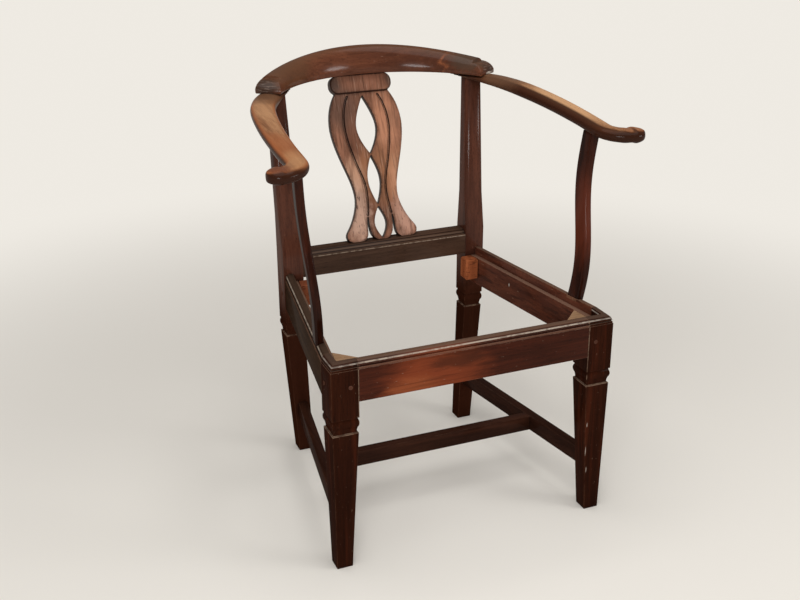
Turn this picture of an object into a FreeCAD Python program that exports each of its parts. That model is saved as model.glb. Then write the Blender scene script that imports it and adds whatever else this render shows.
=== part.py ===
import FreeCAD, Part
import math
import os
from FreeCAD import Vector

os.makedirs("parts", exist_ok=True)

# Bow-back elbow chair. Millimetres, floor at z = 0, front of the chair towards -Y.
# While it is drawn, y = 0 is the face of the front legs and x = 0 the middle of the chair.

# Seat frame
FRONT_WIDTH = 580.0       # over the two front legs
REAR_WIDTH = 468.0        # over the two back posts at the seat
SEAT_DEPTH = 457.0        # face of the front legs to the face of the back posts
SEAT_HEIGHT = 431.0       # floor to the top of the seat rails
RAIL_HEIGHT = 80.0
RAIL_THICK = 28.5
RAIL_SET_IN = 2.0         # side rail inside the outer face of the back post
LIP_WIDTH = 18.0          # lip that surrounds the drop-in seat
REBATE_DEPTH = 18.0       # top of the lip down to the ledge that carries the seat
MOULD_HEIGHT = 15.5       # moulding along the outer top edge
MOULD_WIDTH = 11.0
MOULD_BAND = 4.0          # flat band below the roll
MOULD_BAND_IN = 1.2       # its face inside the face of the rail
MOULD_QUIRK = 2.0         # groove between roll and band

# Front legs
LEG_SIZE = 53.5           # square block at the seat
LEG_BLOCK = 112.0         # length of the block below the top of the rails
FRONT_FOOT = 31.5         # square foot
FRONT_FOOT_SET_IN = 4.5   # foot inside the outer faces of the block

# Collar between block and tapered leg
COLLAR_QUIRK = 2.5
COLLAR_ROLL = 17.0
COLLAR_COVE = 12.0
COLLAR_DEEP = 4.2         # foot of the cove inside the face of the block
NECK_SET_IN = 1.2         # top of the tapered leg inside the face of the block

# Back posts
POST_WIDTH = 44.0         # block at the seat, across the chair
POST_DEPTH = 46.0         # and from front to back
POST_BLOCK_RISE = 4.0     # top of the block above the back rail
POST_SHOULDER = 78.0      # height over which the square block becomes a rounded stile
POST_WAIST_WIDTH = 43.0
POST_WAIST_DEPTH = 44.0
POST_TOP_WIDTH = 36.5
POST_TOP_DEPTH = 37.5
POST_ROUND = 12.0         # rounded corners of the stile
POST_ARRIS = 1.5          # softened corners of the block
REAR_FOOT = 32.5
REAR_FOOT_IN = 37.0       # middle of the rear foot inside the outer face of the block
REAR_FOOT_BACK = 4.0      # front of the rear foot behind the face of the block
POST_BOW_ANGLE = 50.0     # place of the post under the bow, from its middle
POST_COVER = 4.0          # wood of the arm left over the head of the stile

# Back rail
BACK_RAIL_UNDER = 13.0    # underside below the top of the seat rails
BACK_RAIL_HEIGHT = 55.0
BACK_RAIL_THICK = 37.0
BACK_RAIL_SET_BACK = 1.0  # behind the face of the posts
BACK_MOULD_WIDTH = 15.0
BACK_MOULD_HEIGHT = 13.0

# Stretchers
STRETCHER_TOP = 122.0
STRETCHER_HEIGHT = 34.0
STRETCHER_THICK = 20.0
CROSS_SET_BACK = 206.0    # face of the cross stretcher behind the face of the front legs

# Bow of arms and crest
BOW_RADIUS = 287.0        # middle line, seen from above
BOW_BACK = 612.0          # middle line at the back of the bow
BOW_HEIGHT = 813.0        # top of the arms where the crest lies on them
ARM_THICK = 26.0
ARM_REAR_WIDTH = 52.0
ARM_FRONT_WIDTH = 41.0
ARM_FLARE = 17.0          # arms spread this much from the bow to the hooks
ARM_LEAVE_ANGLE = 79.0    # place where the arms leave the round of the bow
ARM_DROP = 34.0           # hooks below the back of the arms
ARM_LEVEL = 10.0          # level run in front of the crest's tip
ARM_END_ANGLE = 41.0      # rear end of an arm, from the middle of the bow
SCARF_LENGTH = 156.0      # slanted cut that thins the rear end of an arm
SCARF_TIP = 2.7           # what is left of its thickness
HOOK_SET_BACK = 68.0      # middle line of the hook behind the face of the front legs
HOOK_RADIUS = 42.0
HOOK_TURN = 86.0
HOOK_LENGTH = 27.0        # straight run from the bend to the tip
HOOK_THICK = 28.0
HOOK_WIDTH = 49.0         # rounded knob at the tip
CREST_LAP = 1.0           # flat seat cut into the arms under the crest
CREST_HEIGHT = 58.0       # at the middle
CREST_TIP_HEIGHT = 29.0
CREST_WIDTH = 46.0
CREST_TIP_ANGLE = 58.0
CREST_STEP = 4.0          # carved step at the tips
CREST_NOSE = 27.0         # length of the rounded nose below the step
CREST_NOSE_DROP = 17.0
CREST_SWELL = 1.0         # front and back swell out above the foot
CREST_SHOULDER = 2.0      # the back draws in again towards the top

# Arm supports
SUPPORT_WIDTH = 36.0
SUPPORT_THICK = 16.0
SUPPORT_ROUND = 5.0
SUPPORT_FOOT_BACK = 118.0  # middle of the foot behind the face of the front legs
SUPPORT_TOP_BACK = 133.0
SUPPORT_SWAY = 14.0        # depth of each half of the S
SUPPORT_FACE_IN = 0.5      # outer face of the foot inside the face of the side rail
SUPPORT_LET_IN = 6.0       # foot let into the top of the side rail
SUPPORT_TOP_IN = 3.0       # head let into the underside of the arm
SUPPORT_HEAD_IN = 7.0      # middle of the head inside the middle line of the arm

# Splat
SPLAT_THICK = 14.0
SPLAT_SET_BACK = 16.0      # foot behind the face of the back rail
SPLAT_TOP_BACK = 2.0       # front of the head behind the middle line of the crest
SPLAT_NECK = 58.0          # half widths, from the cap down to the feet
SPLAT_SHOULDER = 82.0
SPLAT_WAIST = 49.0
SPLAT_FOOT = 81.0
SPLAT_TOE = 14.0           # rounded end of each foot
SPLAT_INSTEP = 45.0        # inner corner of each foot
RING_HALF = 27.5           # ring between the feet
RING_FOOT = 10.0
RING_SLOT = 4.0            # slot between the ring and a foot
UPPER_EYE = 23.5           # half widths of the three piercings
MIDDLE_EYE = 15.0
LOWER_EYE = 14.0
CAP_WIDTH = 141.0
CAP_HEIGHT = 40.0
CAP_BELOW_CREST = 5.0
CAP_ROUND = 18.0
CAP_RAISE = 6.0
RIBBON_GROOVE = 4.5
RIBBON_GROOVE_DEPTH = 3.0

# Blocks and joints
CORNER_BLOCK = 72.0        # along the front rail
CORNER_BLOCK_HEIGHT = 32.0
REAR_BLOCK_WIDTH = 27.0
REAR_BLOCK_DEPTH = 32.0
REAR_BLOCK_HEIGHT = 47.0
TENON_THICK = 10.0
TENON_LENGTH = 33.0
TENON_SHOULDER = 8.0
SPLAT_TENON_SHOULDER = 3.0
SMALL_TENON = 15.0
DOWEL_RADIUS = 8.0
DOWEL_LENGTH = 14.0
PEG_RADIUS = 4.0
PEG_BACK = 16.0            # peg behind the shoulder of its joint
PEG_PROUD = 0.4
PEG_LENGTH = 27.0
FIT = 0.15                 # clearance round tenons, dowels and pegs

# Places that several pieces share
HALF_FRONT = FRONT_WIDTH / 2
HALF_REAR = REAR_WIDTH / 2
RAIL_BOTTOM = SEAT_HEIGHT - RAIL_HEIGHT
LEDGE = SEAT_HEIGHT - REBATE_DEPTH
BLOCK_BOTTOM = SEAT_HEIGHT - LEG_BLOCK
NECK = BLOCK_BOTTOM - COLLAR_QUIRK - COLLAR_ROLL - COLLAR_COVE
RAIL_END = HALF_REAR - RAIL_SET_IN
RAIL_SLOPE = (RAIL_END - HALF_FRONT) / (SEAT_DEPTH - LEG_SIZE)
TENON_LOW = RAIL_BOTTOM + TENON_SHOULDER
TENON_HIGH = LEDGE - TENON_SHOULDER
TENON_IN = (RAIL_THICK - TENON_THICK) / 2
BACK_RAIL_LOW = SEAT_HEIGHT - BACK_RAIL_UNDER
BACK_RAIL_TOP = BACK_RAIL_LOW + BACK_RAIL_HEIGHT
BACK_RAIL_FACE = SEAT_DEPTH + BACK_RAIL_SET_BACK
POST_BLOCK_TOP = BACK_RAIL_TOP + POST_BLOCK_RISE
BOW_Y = BOW_BACK - BOW_RADIUS
CREST_BOTTOM = BOW_HEIGHT - CREST_LAP
ARM_MIDDLE = BOW_HEIGHT - ARM_THICK / 2
POST_TOP = CREST_BOTTOM - POST_COVER
HOOK_START = HOOK_SET_BACK + HOOK_RADIUS
POST_MIDDLE = Vector(HALF_REAR - POST_WIDTH / 2, SEAT_DEPTH + POST_DEPTH / 2, 0)


def wire(steps, place):
    """Closed outline: a step is a corner (u, v) or an arc (u mid, v mid, u end, v end)."""
    edges = []
    last = steps[0]
    for step in steps[1:] + [steps[0]]:
        end = step[-2:]
        if len(step) == 4:
            edges.append(Part.Arc(place(*last), place(*step[:2]), place(*end)).toShape())
        elif place(*last).distanceToPoint(place(*end)) > 1e-6:
            edges.append(Part.makeLine(place(*last), place(*end)))
        last = end
    return Part.Wire(edges)


def prism(steps, place, along):
    return Part.Face(wire(steps, place)).extrude(along)


def box(x0, x1, y0, y1, z0, z1):
    return Part.makeBox(x1 - x0, y1 - y0, z1 - z0, Vector(x0, y0, z0))


def rod(start, end, radius):
    return Part.makeCylinder(radius, start.distanceToPoint(end), start, end - start)


def mirrored(shape):
    return shape.mirror(Vector(0, 0, 0), Vector(1, 0, 0))


def joined(*shapes):
    return shapes[0].fuse(list(shapes[1:])).removeSplitter()


def rounded_section(middle, width, depth, radius, turn=0.0):
    """Horizontal rounded rectangle about a point, turned in plan by an angle."""
    u, v = width / 2, depth / 2
    k = radius * (1 - math.sqrt(0.5))
    c, s = math.cos(math.radians(turn)), math.sin(math.radians(turn))

    def place(a, b):
        return middle + Vector(a * c - b * s, a * s + b * c, 0)

    steps = [(-u, v - radius), (-u, radius - v), (-u + k, k - v, radius - u, -v), (u - radius, -v),
             (u - k, k - v, u, radius - v), (u, v - radius), (u - k, v - k, u - radius, v),
             (radius - u, v), (k - u, v - k, -u, v - radius)]
    return wire(steps, place)


def moulded_top(top):
    """Roll, groove and band from the flat top out to the face, as (inward from the face, height)."""
    foot = top - MOULD_HEIGHT
    band = foot + MOULD_BAND
    roll = band + MOULD_QUIRK
    nose = 2 * MOULD_BAND_IN
    deep = nose + MOULD_QUIRK
    bow = (MOULD_WIDTH - (MOULD_WIDTH - nose) * math.sqrt(0.5), roll + (top - roll) * math.sqrt(0.5))
    return [(MOULD_WIDTH, top), bow + (nose, roll), (deep, roll), (deep, band), (MOULD_BAND_IN, band),
            (MOULD_BAND_IN, foot), (0.0, foot)]


def collar():
    """Quirk, roll and cove below a block, down to the leg, as (inward from the face, height)."""
    roll = BLOCK_BOTTOM - COLLAR_QUIRK
    cove = roll - COLLAR_ROLL
    hollow = (COLLAR_QUIRK + (COLLAR_DEEP - COLLAR_QUIRK) * 0.8, cove - COLLAR_COVE * 0.45)
    return [(0.0, BLOCK_BOTTOM), (COLLAR_QUIRK, BLOCK_BOTTOM), (COLLAR_QUIRK, roll),
            (0.0, roll - COLLAR_ROLL / 2, COLLAR_QUIRK, cove), hollow + (COLLAR_DEEP, NECK),
            (NECK_SET_IN, NECK)]


def opposite(steps, size):
    """The same outline walked back up the other face of a block."""
    flat = []
    for step in steps:
        if len(step) == 4:
            flat.append(("mid", step[0], step[1]))
        flat.append(("end", step[-2], step[-1]))
    back = []
    mid = None
    for kind, u, v in reversed(flat):
        if kind == "mid":
            mid = (size - u, v)
        elif mid:
            back.append(mid + (size - u, v))
            mid = None
        else:
            back.append((size - u, v))
    return back


def front_leg_faces(z):
    """Outer and inner face of the tapered front leg at a height, inward from the block's face."""
    k = z / NECK
    outer = FRONT_FOOT_SET_IN + (NECK_SET_IN - FRONT_FOOT_SET_IN) * k
    foot = FRONT_FOOT_SET_IN + FRONT_FOOT
    inner = foot + (LEG_SIZE - NECK_SET_IN - foot) * k
    return outer, inner


def rear_leg_middle(z):
    """Middle of the tapered rear leg at a height, and its width and depth there."""
    k = z / NECK
    foot = Vector(HALF_REAR - REAR_FOOT_IN, SEAT_DEPTH + REAR_FOOT_BACK + REAR_FOOT / 2, z)
    neck = Vector(POST_MIDDLE.x, POST_MIDDLE.y, z)
    trim = 2 * NECK_SET_IN
    width = REAR_FOOT + (POST_WIDTH - trim - REAR_FOOT) * k
    depth = REAR_FOOT + (POST_DEPTH - trim - REAR_FOOT) * k
    return foot + (neck - foot) * k, width, depth


def rail_line(y):
    """Outer face of the right side rail at a distance behind the front legs' face."""
    return HALF_FRONT + RAIL_SLOPE * (y - LEG_SIZE)


def front_leg():
    low = front_leg_faces(0.0)
    high = front_leg_faces(NECK)
    outer = moulded_top(SEAT_HEIGHT) + collar() + [(high[0], NECK), (low[0], 0.0)]
    inner = [(low[1], 0.0), (high[1], NECK)] + opposite(collar(), LEG_SIZE)
    outline = outer + inner + [(LEG_SIZE, SEAT_HEIGHT)]
    across = prism(outline, lambda u, z: Vector(HALF_FRONT - u, 0, z), Vector(0, LEG_SIZE, 0))
    along = prism(outline, lambda u, z: Vector(HALF_FRONT, u, z), Vector(-LEG_SIZE, 0, 0))
    corner = box(HALF_FRONT - LEG_SIZE, HALF_FRONT - LIP_WIDTH, LIP_WIDTH, LEG_SIZE,
                 LEDGE, SEAT_HEIGHT)
    return across.common(along).cut(corner)


def back_post():
    x0, y0 = HALF_REAR - POST_WIDTH, SEAT_DEPTH
    sole, width, depth = rear_leg_middle(0.0)
    neck = collar()[1:]
    across = [(sole.x - x0 - width / 2, 0.0), (sole.x - x0 + width / 2, 0.0)]
    across = neck + across + opposite(neck, POST_WIDTH)
    along = [(sole.y - y0 - depth / 2, 0.0), (sole.y - y0 + depth / 2, 0.0)]
    along = neck + along + opposite(neck, POST_DEPTH)
    leg = prism(across, lambda u, z: Vector(x0 + u, y0, z), Vector(0, POST_DEPTH, 0))
    leg = leg.common(prism(along, lambda v, z: Vector(x0 - POST_WIDTH, y0 + v, z),
                           Vector(2 * POST_WIDTH, 0, 0)))
    block = Vector(POST_MIDDLE.x, POST_MIDDLE.y, BLOCK_BOTTOM)
    foot = Vector(POST_MIDDLE.x, POST_MIDDLE.y, POST_BLOCK_TOP)
    head = bow_point(POST_BOW_ANGLE, POST_TOP)
    waist = foot + (head - foot) * (POST_SHOULDER / (POST_TOP - POST_BLOCK_TOP))
    stile = Part.makeLoft([
        rounded_section(block, POST_WIDTH, POST_DEPTH, POST_ARRIS),
        rounded_section(foot, POST_WIDTH, POST_DEPTH, POST_ARRIS),
        rounded_section(waist, POST_WAIST_WIDTH, POST_WAIST_DEPTH, POST_ROUND),
        rounded_section(head, POST_TOP_WIDTH, POST_TOP_DEPTH, POST_ROUND)], True, True)
    dowel_top = Vector(head.x, head.y, CREST_BOTTOM + DOWEL_LENGTH)
    dowel = rod(head - Vector(0, 0, DOWEL_LENGTH / 4), dowel_top, DOWEL_RADIUS)
    return joined(leg, stile, dowel)


def post_dowel_hole():
    head = bow_point(POST_BOW_ANGLE, POST_TOP)
    hole_top = Vector(head.x, head.y, CREST_BOTTOM + DOWEL_LENGTH + FIT)
    return rod(head, hole_top, DOWEL_RADIUS + FIT)


def seat_rail_outline():
    below = [(0.0, RAIL_BOTTOM), (RAIL_THICK, RAIL_BOTTOM), (RAIL_THICK, LEDGE)]
    return moulded_top(SEAT_HEIGHT) + below + [(LIP_WIDTH, LEDGE), (LIP_WIDTH, SEAT_HEIGHT)]


def front_tenon(grow=0.0):
    """Right tenon of the front rail; grow widens it into its mortise."""
    x0 = HALF_FRONT - LEG_SIZE
    root = x0 - TENON_SHOULDER
    return box(root, x0 + TENON_LENGTH + grow, TENON_IN - grow, TENON_IN + TENON_THICK + grow,
               TENON_LOW - grow, TENON_HIGH + grow)


def front_rail():
    half = HALF_FRONT - LEG_SIZE
    body = prism(seat_rail_outline(), lambda u, z: Vector(-half, u, z), Vector(2 * half, 0, 0))
    return joined(body, front_tenon(), mirrored(front_tenon()))


def side_run(u0, u1, y0, y1, z0, z1):
    """Slanted bar that follows the right side rail, inward from its face by u0 to u1."""
    steps = [(u0, z0), (u1, z0), (u1, z1), (u0, z1)]
    along = Vector(RAIL_SLOPE * (y1 - y0), y1 - y0, 0)
    return prism(steps, lambda u, z: Vector(rail_line(y0) - u, y0, z), along)


def side_tenon(front, grow=0.0):
    u0, u1 = TENON_IN - grow, TENON_IN + TENON_THICK + grow
    z0, z1 = TENON_LOW - grow, TENON_HIGH + grow
    if front:
        return side_run(u0, u1, LEG_SIZE - TENON_LENGTH - grow, LEG_SIZE + TENON_SHOULDER, z0, z1)
    return side_run(u0, u1, SEAT_DEPTH - TENON_SHOULDER, SEAT_DEPTH + TENON_LENGTH + grow, z0, z1)


def side_rail():
    length = SEAT_DEPTH - LEG_SIZE
    body = prism(seat_rail_outline(), lambda u, z: Vector(HALF_FRONT - u, LEG_SIZE, z),
                 Vector(RAIL_SLOPE * length, length, 0))
    return joined(body, side_tenon(True), side_tenon(False))


def back_rail_tenon(grow=0.0):
    x0 = HALF_REAR - POST_WIDTH
    y0 = BACK_RAIL_FACE + (BACK_RAIL_THICK - TENON_THICK) / 2
    root = x0 - TENON_SHOULDER
    return box(root, x0 + SMALL_TENON + grow, y0 - grow, y0 + TENON_THICK + grow,
               BACK_RAIL_LOW + TENON_SHOULDER - grow, BACK_RAIL_TOP - BACK_MOULD_HEIGHT + grow)


def back_rail():
    half = HALF_REAR - POST_WIDTH
    low = BACK_RAIL_TOP - BACK_MOULD_HEIGHT
    bead = BACK_MOULD_HEIGHT * 0.3
    hollow = (BACK_MOULD_WIDTH * 0.42, low + bead + (BACK_MOULD_HEIGHT - bead) * 0.32)
    outline = [(0.0, BACK_RAIL_LOW), (0.0, low), (bead * 0.4, low + bead * 0.8, bead, low + bead),
               hollow + (BACK_MOULD_WIDTH, BACK_RAIL_TOP), (BACK_RAIL_THICK, BACK_RAIL_TOP),
               (BACK_RAIL_THICK, BACK_RAIL_LOW)]
    body = prism(outline, lambda u, z: Vector(-half, BACK_RAIL_FACE + u, z), Vector(2 * half, 0, 0))
    return joined(body, back_rail_tenon(), mirrored(back_rail_tenon()))


def stretcher_ends():
    """Middle of the right side stretcher at the front and at the rear leg."""
    z = STRETCHER_TOP - STRETCHER_HEIGHT / 2
    outer, inner = front_leg_faces(z)
    rear, width, depth = rear_leg_middle(z)
    front = Vector(HALF_FRONT - (outer + inner) / 2, inner, z)
    return front, Vector(rear.x, rear.y - depth / 2, z)


def stretcher_bar(start, end, thick, low, high):
    side = Vector(end.y - start.y, start.x - end.x, 0).normalize() * (thick / 2)
    base = Vector(0, 0, low)
    flat = [Vector(p.x, p.y, 0) + base for p in (start - side, start + side, end + side, end - side)]
    return Part.Face(Part.makePolygon(flat + flat[:1])).extrude(Vector(0, 0, high - low))


def side_stretcher(grow=0.0):
    front, rear = stretcher_ends()
    run = (rear - front).normalize()
    low = STRETCHER_TOP - STRETCHER_HEIGHT
    reach = run * (SMALL_TENON + grow)
    tenon = stretcher_bar(front - reach, rear + reach, TENON_THICK + 2 * grow,
                          low + TENON_SHOULDER - grow, STRETCHER_TOP - TENON_SHOULDER + grow)
    if grow:
        return tenon
    start, end = front - run * LEG_SIZE, rear + run * LEG_SIZE
    body = stretcher_bar(start, end, STRETCHER_THICK, low, STRETCHER_TOP)
    body = body.cut(front_leg()).cut(back_post())
    middle = (front + rear) * 0.5
    body = min(body.Solids, key=lambda s: s.CenterOfMass.distanceToPoint(middle))
    return joined(body, tenon)


def cross_stretcher(grow=0.0):
    front, rear = stretcher_ends()
    y = CROSS_SET_BACK + STRETCHER_THICK / 2
    x = front.x + (rear.x - front.x) * (y - front.y) / (rear.y - front.y)
    reach = x - STRETCHER_THICK / 2 + SMALL_TENON + grow
    low = STRETCHER_TOP - STRETCHER_HEIGHT
    tenon = stretcher_bar(Vector(-reach, y, 0), Vector(reach, y, 0), TENON_THICK + 2 * grow,
                          low + TENON_SHOULDER - grow, STRETCHER_TOP - TENON_SHOULDER + grow)
    if grow:
        return tenon
    body = stretcher_bar(Vector(-x, y, 0), Vector(x, y, 0), STRETCHER_THICK, low, STRETCHER_TOP)
    side = stretcher_bar(front, rear, STRETCHER_THICK, low, STRETCHER_TOP)
    body = body.cut(side).cut(mirrored(side))
    body = min(body.Solids, key=lambda s: abs(s.CenterOfMass.x))
    return joined(body, tenon)


def bow_point(angle, z):
    a = math.radians(angle)
    return Vector(BOW_RADIUS * math.sin(a), BOW_Y + BOW_RADIUS * math.cos(a), z)


def arm_height(y):
    """Middle height of the arm: level under the crest, then falling to the hook."""
    level = bow_point(CREST_TIP_ANGLE, 0).y - ARM_LEVEL
    t = max(0.0, (level - y) / (level - HOOK_SET_BACK))
    return ARM_MIDDLE - ARM_DROP * t ** 1.25


def arm_width(y):
    level = bow_point(CREST_TIP_ANGLE, 0).y
    t = min(1.0, max(0.0, (level - y) / (level - HOOK_START)))
    return ARM_REAR_WIDTH + (ARM_FRONT_WIDTH - ARM_REAR_WIDTH) * t


def arm_stations():
    """Middle points of the right arm from its rear end to the hook's bend, with heading and width."""
    stations = []
    for i in range(8):
        a = ARM_END_ANGLE + (ARM_LEAVE_ANGLE - ARM_END_ANGLE) * i / 7
        stations.append((bow_point(a, 0), math.radians(-a)))
    start, heading = stations[-1]
    end = Vector(BOW_RADIUS + ARM_FLARE, HOOK_START, 0)
    pull = (end - start).Length / 3
    second = start + Vector(math.cos(heading), math.sin(heading), 0) * pull
    third = end + Vector(0, pull, 0)
    sweep = Part.BezierCurve()
    sweep.setPoles([start, second, third, end])
    for i in range(1, 6):
        point, tangent = sweep.value(i / 6), sweep.tangent(i / 6)[0]
        stations.append((point, math.atan2(tangent.y, tangent.x)))
    stations = [(point, heading, arm_width(point.y)) for point, heading in stations]
    centre = end + Vector(HOOK_RADIUS, 0, 0)
    for i in range(7):
        turn = math.radians(HOOK_TURN) * i / 6
        spoke = Vector(-math.cos(turn), -math.sin(turn), 0) * HOOK_RADIUS
        width = ARM_FRONT_WIDTH + (HOOK_WIDTH - ARM_FRONT_WIDTH) * (i / 6) ** 2
        stations.append((centre + spoke, turn - math.pi / 2, width))
    return stations


def arm_section(middle, heading, width, thick):
    """Upright cross-section of an arm: a flattened oval square to the heading."""
    side = Vector(math.sin(heading), -math.cos(heading), 0)
    power = 2 / 2.4
    points = []
    for i in range(16):
        a = 2 * math.pi * (i + 0.5) / 16
        u = math.copysign(abs(math.cos(a)) ** power, math.cos(a)) * width / 2
        v = math.copysign(abs(math.sin(a)) ** power, math.sin(a)) * thick / 2
        points.append(middle + side * u + Vector(0, 0, v))
    curve = Part.BSplineCurve()
    curve.interpolate(points, PeriodicFlag=True)
    return Part.Wire(curve.toShape())


def arm_blank():
    stations = arm_stations()
    sections = []
    for point, heading, width in stations:
        at = Vector(point.x, point.y, arm_height(point.y))
        sections.append(arm_section(at, heading, width, ARM_THICK))
    point, heading = stations[-1][:2]
    run = Vector(math.cos(heading), math.sin(heading), 0)
    dome = HOOK_WIDTH / 2
    straight = HOOK_LENGTH - dome
    for turn in (0, 24, 44, 60, 73, 83):
        share = math.cos(math.radians(turn))
        at = point + run * (straight + dome * math.sin(math.radians(turn)) / math.sin(math.radians(83)))
        at = Vector(at.x, at.y, arm_height(at.y))
        thick = HOOK_THICK * (0.4 + 0.6 * share)
        sections.append(arm_section(at, heading, HOOK_WIDTH * share, thick))
    return Part.makeLoft(sections, True, False)


def bow_frame(angle):
    """Point of the bow at an angle, with its heading towards the middle and its outward side."""
    c, s = math.cos(math.radians(angle)), math.sin(math.radians(angle))
    return bow_point(angle, 0), Vector(-c, s, 0), Vector(s, c, 0)


def bow_cutter(angle, steps):
    """Prism across the bow from an outline (towards the middle, height) at an angle."""
    point, inward, outward = bow_frame(angle)
    start = point - outward * (2 * ARM_REAR_WIDTH)
    across = outward * (3 * ARM_REAR_WIDTH)
    return prism(steps, lambda t, z: start + inward * t + Vector(0, 0, z), across)


def arm_rear_scarf():
    """Long slanted cut that thins the rear end of the right arm until it dies under the crest."""
    slope = (ARM_THICK - SCARF_TIP) / SCARF_LENGTH
    start, end = -1.3 * SCARF_LENGTH, SCARF_LENGTH / 2
    tip = BOW_HEIGHT - SCARF_TIP
    low = BOW_HEIGHT - 2 * ARM_THICK
    return bow_cutter(ARM_END_ANGLE, [(start, tip + slope * start), (end, tip + slope * end),
                                      (end, low), (start, low)])


def crest_height(angle):
    share = math.sin(math.radians(angle)) / math.sin(math.radians(CREST_TIP_ANGLE))
    return CREST_HEIGHT + (CREST_TIP_HEIGHT - CREST_HEIGHT) * share * share


def crest_section(angle):
    point, inward, outward = bow_frame(angle)
    half = (CREST_WIDTH + (ARM_REAR_WIDTH - CREST_WIDTH) * (angle / CREST_TIP_ANGLE) ** 2) / 2
    high = crest_height(angle)
    shape = [(half, 0.0), (half + CREST_SWELL, 0.3), (half - CREST_SHOULDER, 0.65), (half * 0.6, 0.91),
             (half * 0.1, 1.0), (-half * 0.38, 0.94), (-half * 0.74, 0.74), (-half * 0.94, 0.46),
             (-half - CREST_SWELL, 0.2), (-half, 0.0)]
    points = [point + outward * u + Vector(0, 0, CREST_BOTTOM + v * high) for u, v in shape]
    curve = Part.BSplineCurve()
    curve.interpolate(points)
    return Part.Wire([curve.toShape(), Part.makeLine(points[-1], points[0])])


def crest_tip_cutter():
    """What is carved away at the right tip: a small step and a rounded nose."""
    top = CREST_BOTTOM + crest_height(CREST_TIP_ANGLE)
    nose = top - CREST_STEP
    foot = nose - CREST_NOSE_DROP
    under = CREST_BOTTOM - CREST_TIP_HEIGHT
    over = CREST_BOTTOM + 2 * CREST_HEIGHT
    bulge = (CREST_NOSE * 0.32, foot + CREST_NOSE_DROP * 0.68)
    past = -2 * ARM_REAR_WIDTH
    return bow_cutter(CREST_TIP_ANGLE, [(past, under), (0.0, under), (0.0, foot),
                                        bulge + (CREST_NOSE, nose), (CREST_NOSE, over), (past, over)])


def crest_rail():
    reach = CREST_TIP_ANGLE + 4.0
    body = Part.makeLoft([crest_section(reach * (i - 6) / 6) for i in range(13)], True, False)
    tip = crest_tip_cutter()
    return body.cut(tip).cut(mirrored(tip))


def support_stations():
    """Middle points of the right support from its let-in foot to its head under the arm."""
    low = SEAT_HEIGHT - SUPPORT_LET_IN
    head = arm_height(SUPPORT_TOP_BACK) - ARM_THICK / 2 + SUPPORT_TOP_IN
    x0 = rail_line(SUPPORT_FOOT_BACK) - SUPPORT_FACE_IN - SUPPORT_THICK / 2
    x1 = BOW_RADIUS + ARM_FLARE - SUPPORT_HEAD_IN
    points = []
    for i in range(11):
        t = i / 10
        sway = -SUPPORT_SWAY * math.sin(2 * math.pi * t) * (1 - 0.35 * t)
        y = SUPPORT_FOOT_BACK + (SUPPORT_TOP_BACK - SUPPORT_FOOT_BACK) * t + sway
        points.append(Vector(x0 + (x1 - x0) * t, y, low + (head - low) * t))
    return points


def support_turn():
    return math.degrees(math.atan(-RAIL_SLOPE))


def support_dowels(grow=0.0):
    points = support_stations()
    foot, head = points[0], points[-1]
    radius = SUPPORT_THICK / 3 + grow
    root = Vector(0, 0, SUPPORT_TOP_IN / 2)
    return (rod(foot - Vector(0, 0, SMALL_TENON + grow), foot + root, radius),
            rod(head - root, head + Vector(0, 0, DOWEL_LENGTH + grow), radius))


def support_body():
    sections = [rounded_section(p, SUPPORT_THICK, SUPPORT_WIDTH, SUPPORT_ROUND, support_turn())
                for p in support_stations()]
    return Part.makeLoft(sections, True, False)


def arm_support():
    return joined(support_body(), *support_dowels())


def splat_lean():
    """Foot of the splat's front face and its lean from upright, in degrees."""
    foot = Vector(0, BACK_RAIL_FACE + SPLAT_SET_BACK, BACK_RAIL_TOP)
    head = Vector(0, BOW_BACK + SPLAT_TOP_BACK, CREST_BOTTOM)
    return foot, head, math.degrees(math.atan2(head.y - foot.y, head.z - foot.z))


def splat_set(shape):
    """Turns a board drawn flat (x across, y up the board, front face at z = 0) into its place."""
    foot, head, lean = splat_lean()
    shape.rotate(Vector(0, 0, 0), Vector(1, 0, 0), 90 - lean)
    shape.translate(foot)
    return shape


def curve_through(points):
    curve = Part.BSplineCurve()
    curve.interpolate([Vector(x, y, 0) for x, y in points])
    return curve.toShape()


def both_sides(points):
    """Closed outline from a half drawn from the middle line round to the middle line."""
    right = curve_through(points)
    return [right, right.mirror(Vector(0, 0, 0), Vector(1, 0, 0))]


def splat_opening(low, high, half, belly):
    """Pointed oval piercing on the middle line, widest at a share of its height."""
    span = high - low
    points = [(0, low), (half * 0.62, low + span * belly * 0.42), (half, low + span * belly),
              (half * 0.68, low + span * (belly + (1 - belly) * 0.5)), (0, high)]
    return Part.Face(Part.Wire(both_sides(points)))


def cut_line(*corners):
    """Straight edges from corner to corner of a board drawn flat."""
    points = [Vector(x, y, 0) for x, y in corners]
    return [Part.makeLine(a, b) for a, b in zip(points, points[1:])]


def face_between(edges):
    return Part.Face(Part.Wire(Part.__sortEdges__(edges)))


def splat_edge(high):
    """Right outer edge of the strapwork from the cap down to the foot."""
    spread = SPLAT_FOOT - SPLAT_WAIST
    belly = SPLAT_SHOULDER - SPLAT_WAIST
    return [(SPLAT_NECK, high * 1.015), (SPLAT_SHOULDER - belly * 0.14, high * 0.895),
            (SPLAT_SHOULDER, high * 0.755), (SPLAT_SHOULDER - belly * 0.2, high * 0.635),
            (SPLAT_WAIST + belly * 0.44, high * 0.51), (SPLAT_WAIST + belly * 0.06, high * 0.375),
            (SPLAT_WAIST, high * 0.28), (SPLAT_WAIST + spread * 0.3, high * 0.175),
            (SPLAT_WAIST + spread * 0.76, high * 0.095), (SPLAT_FOOT, high * 0.05),
            (SPLAT_FOOT - SPLAT_TOE * 0.14, high * 0.023), (SPLAT_FOOT - SPLAT_TOE * 0.52, high * 0.007)]


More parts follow.
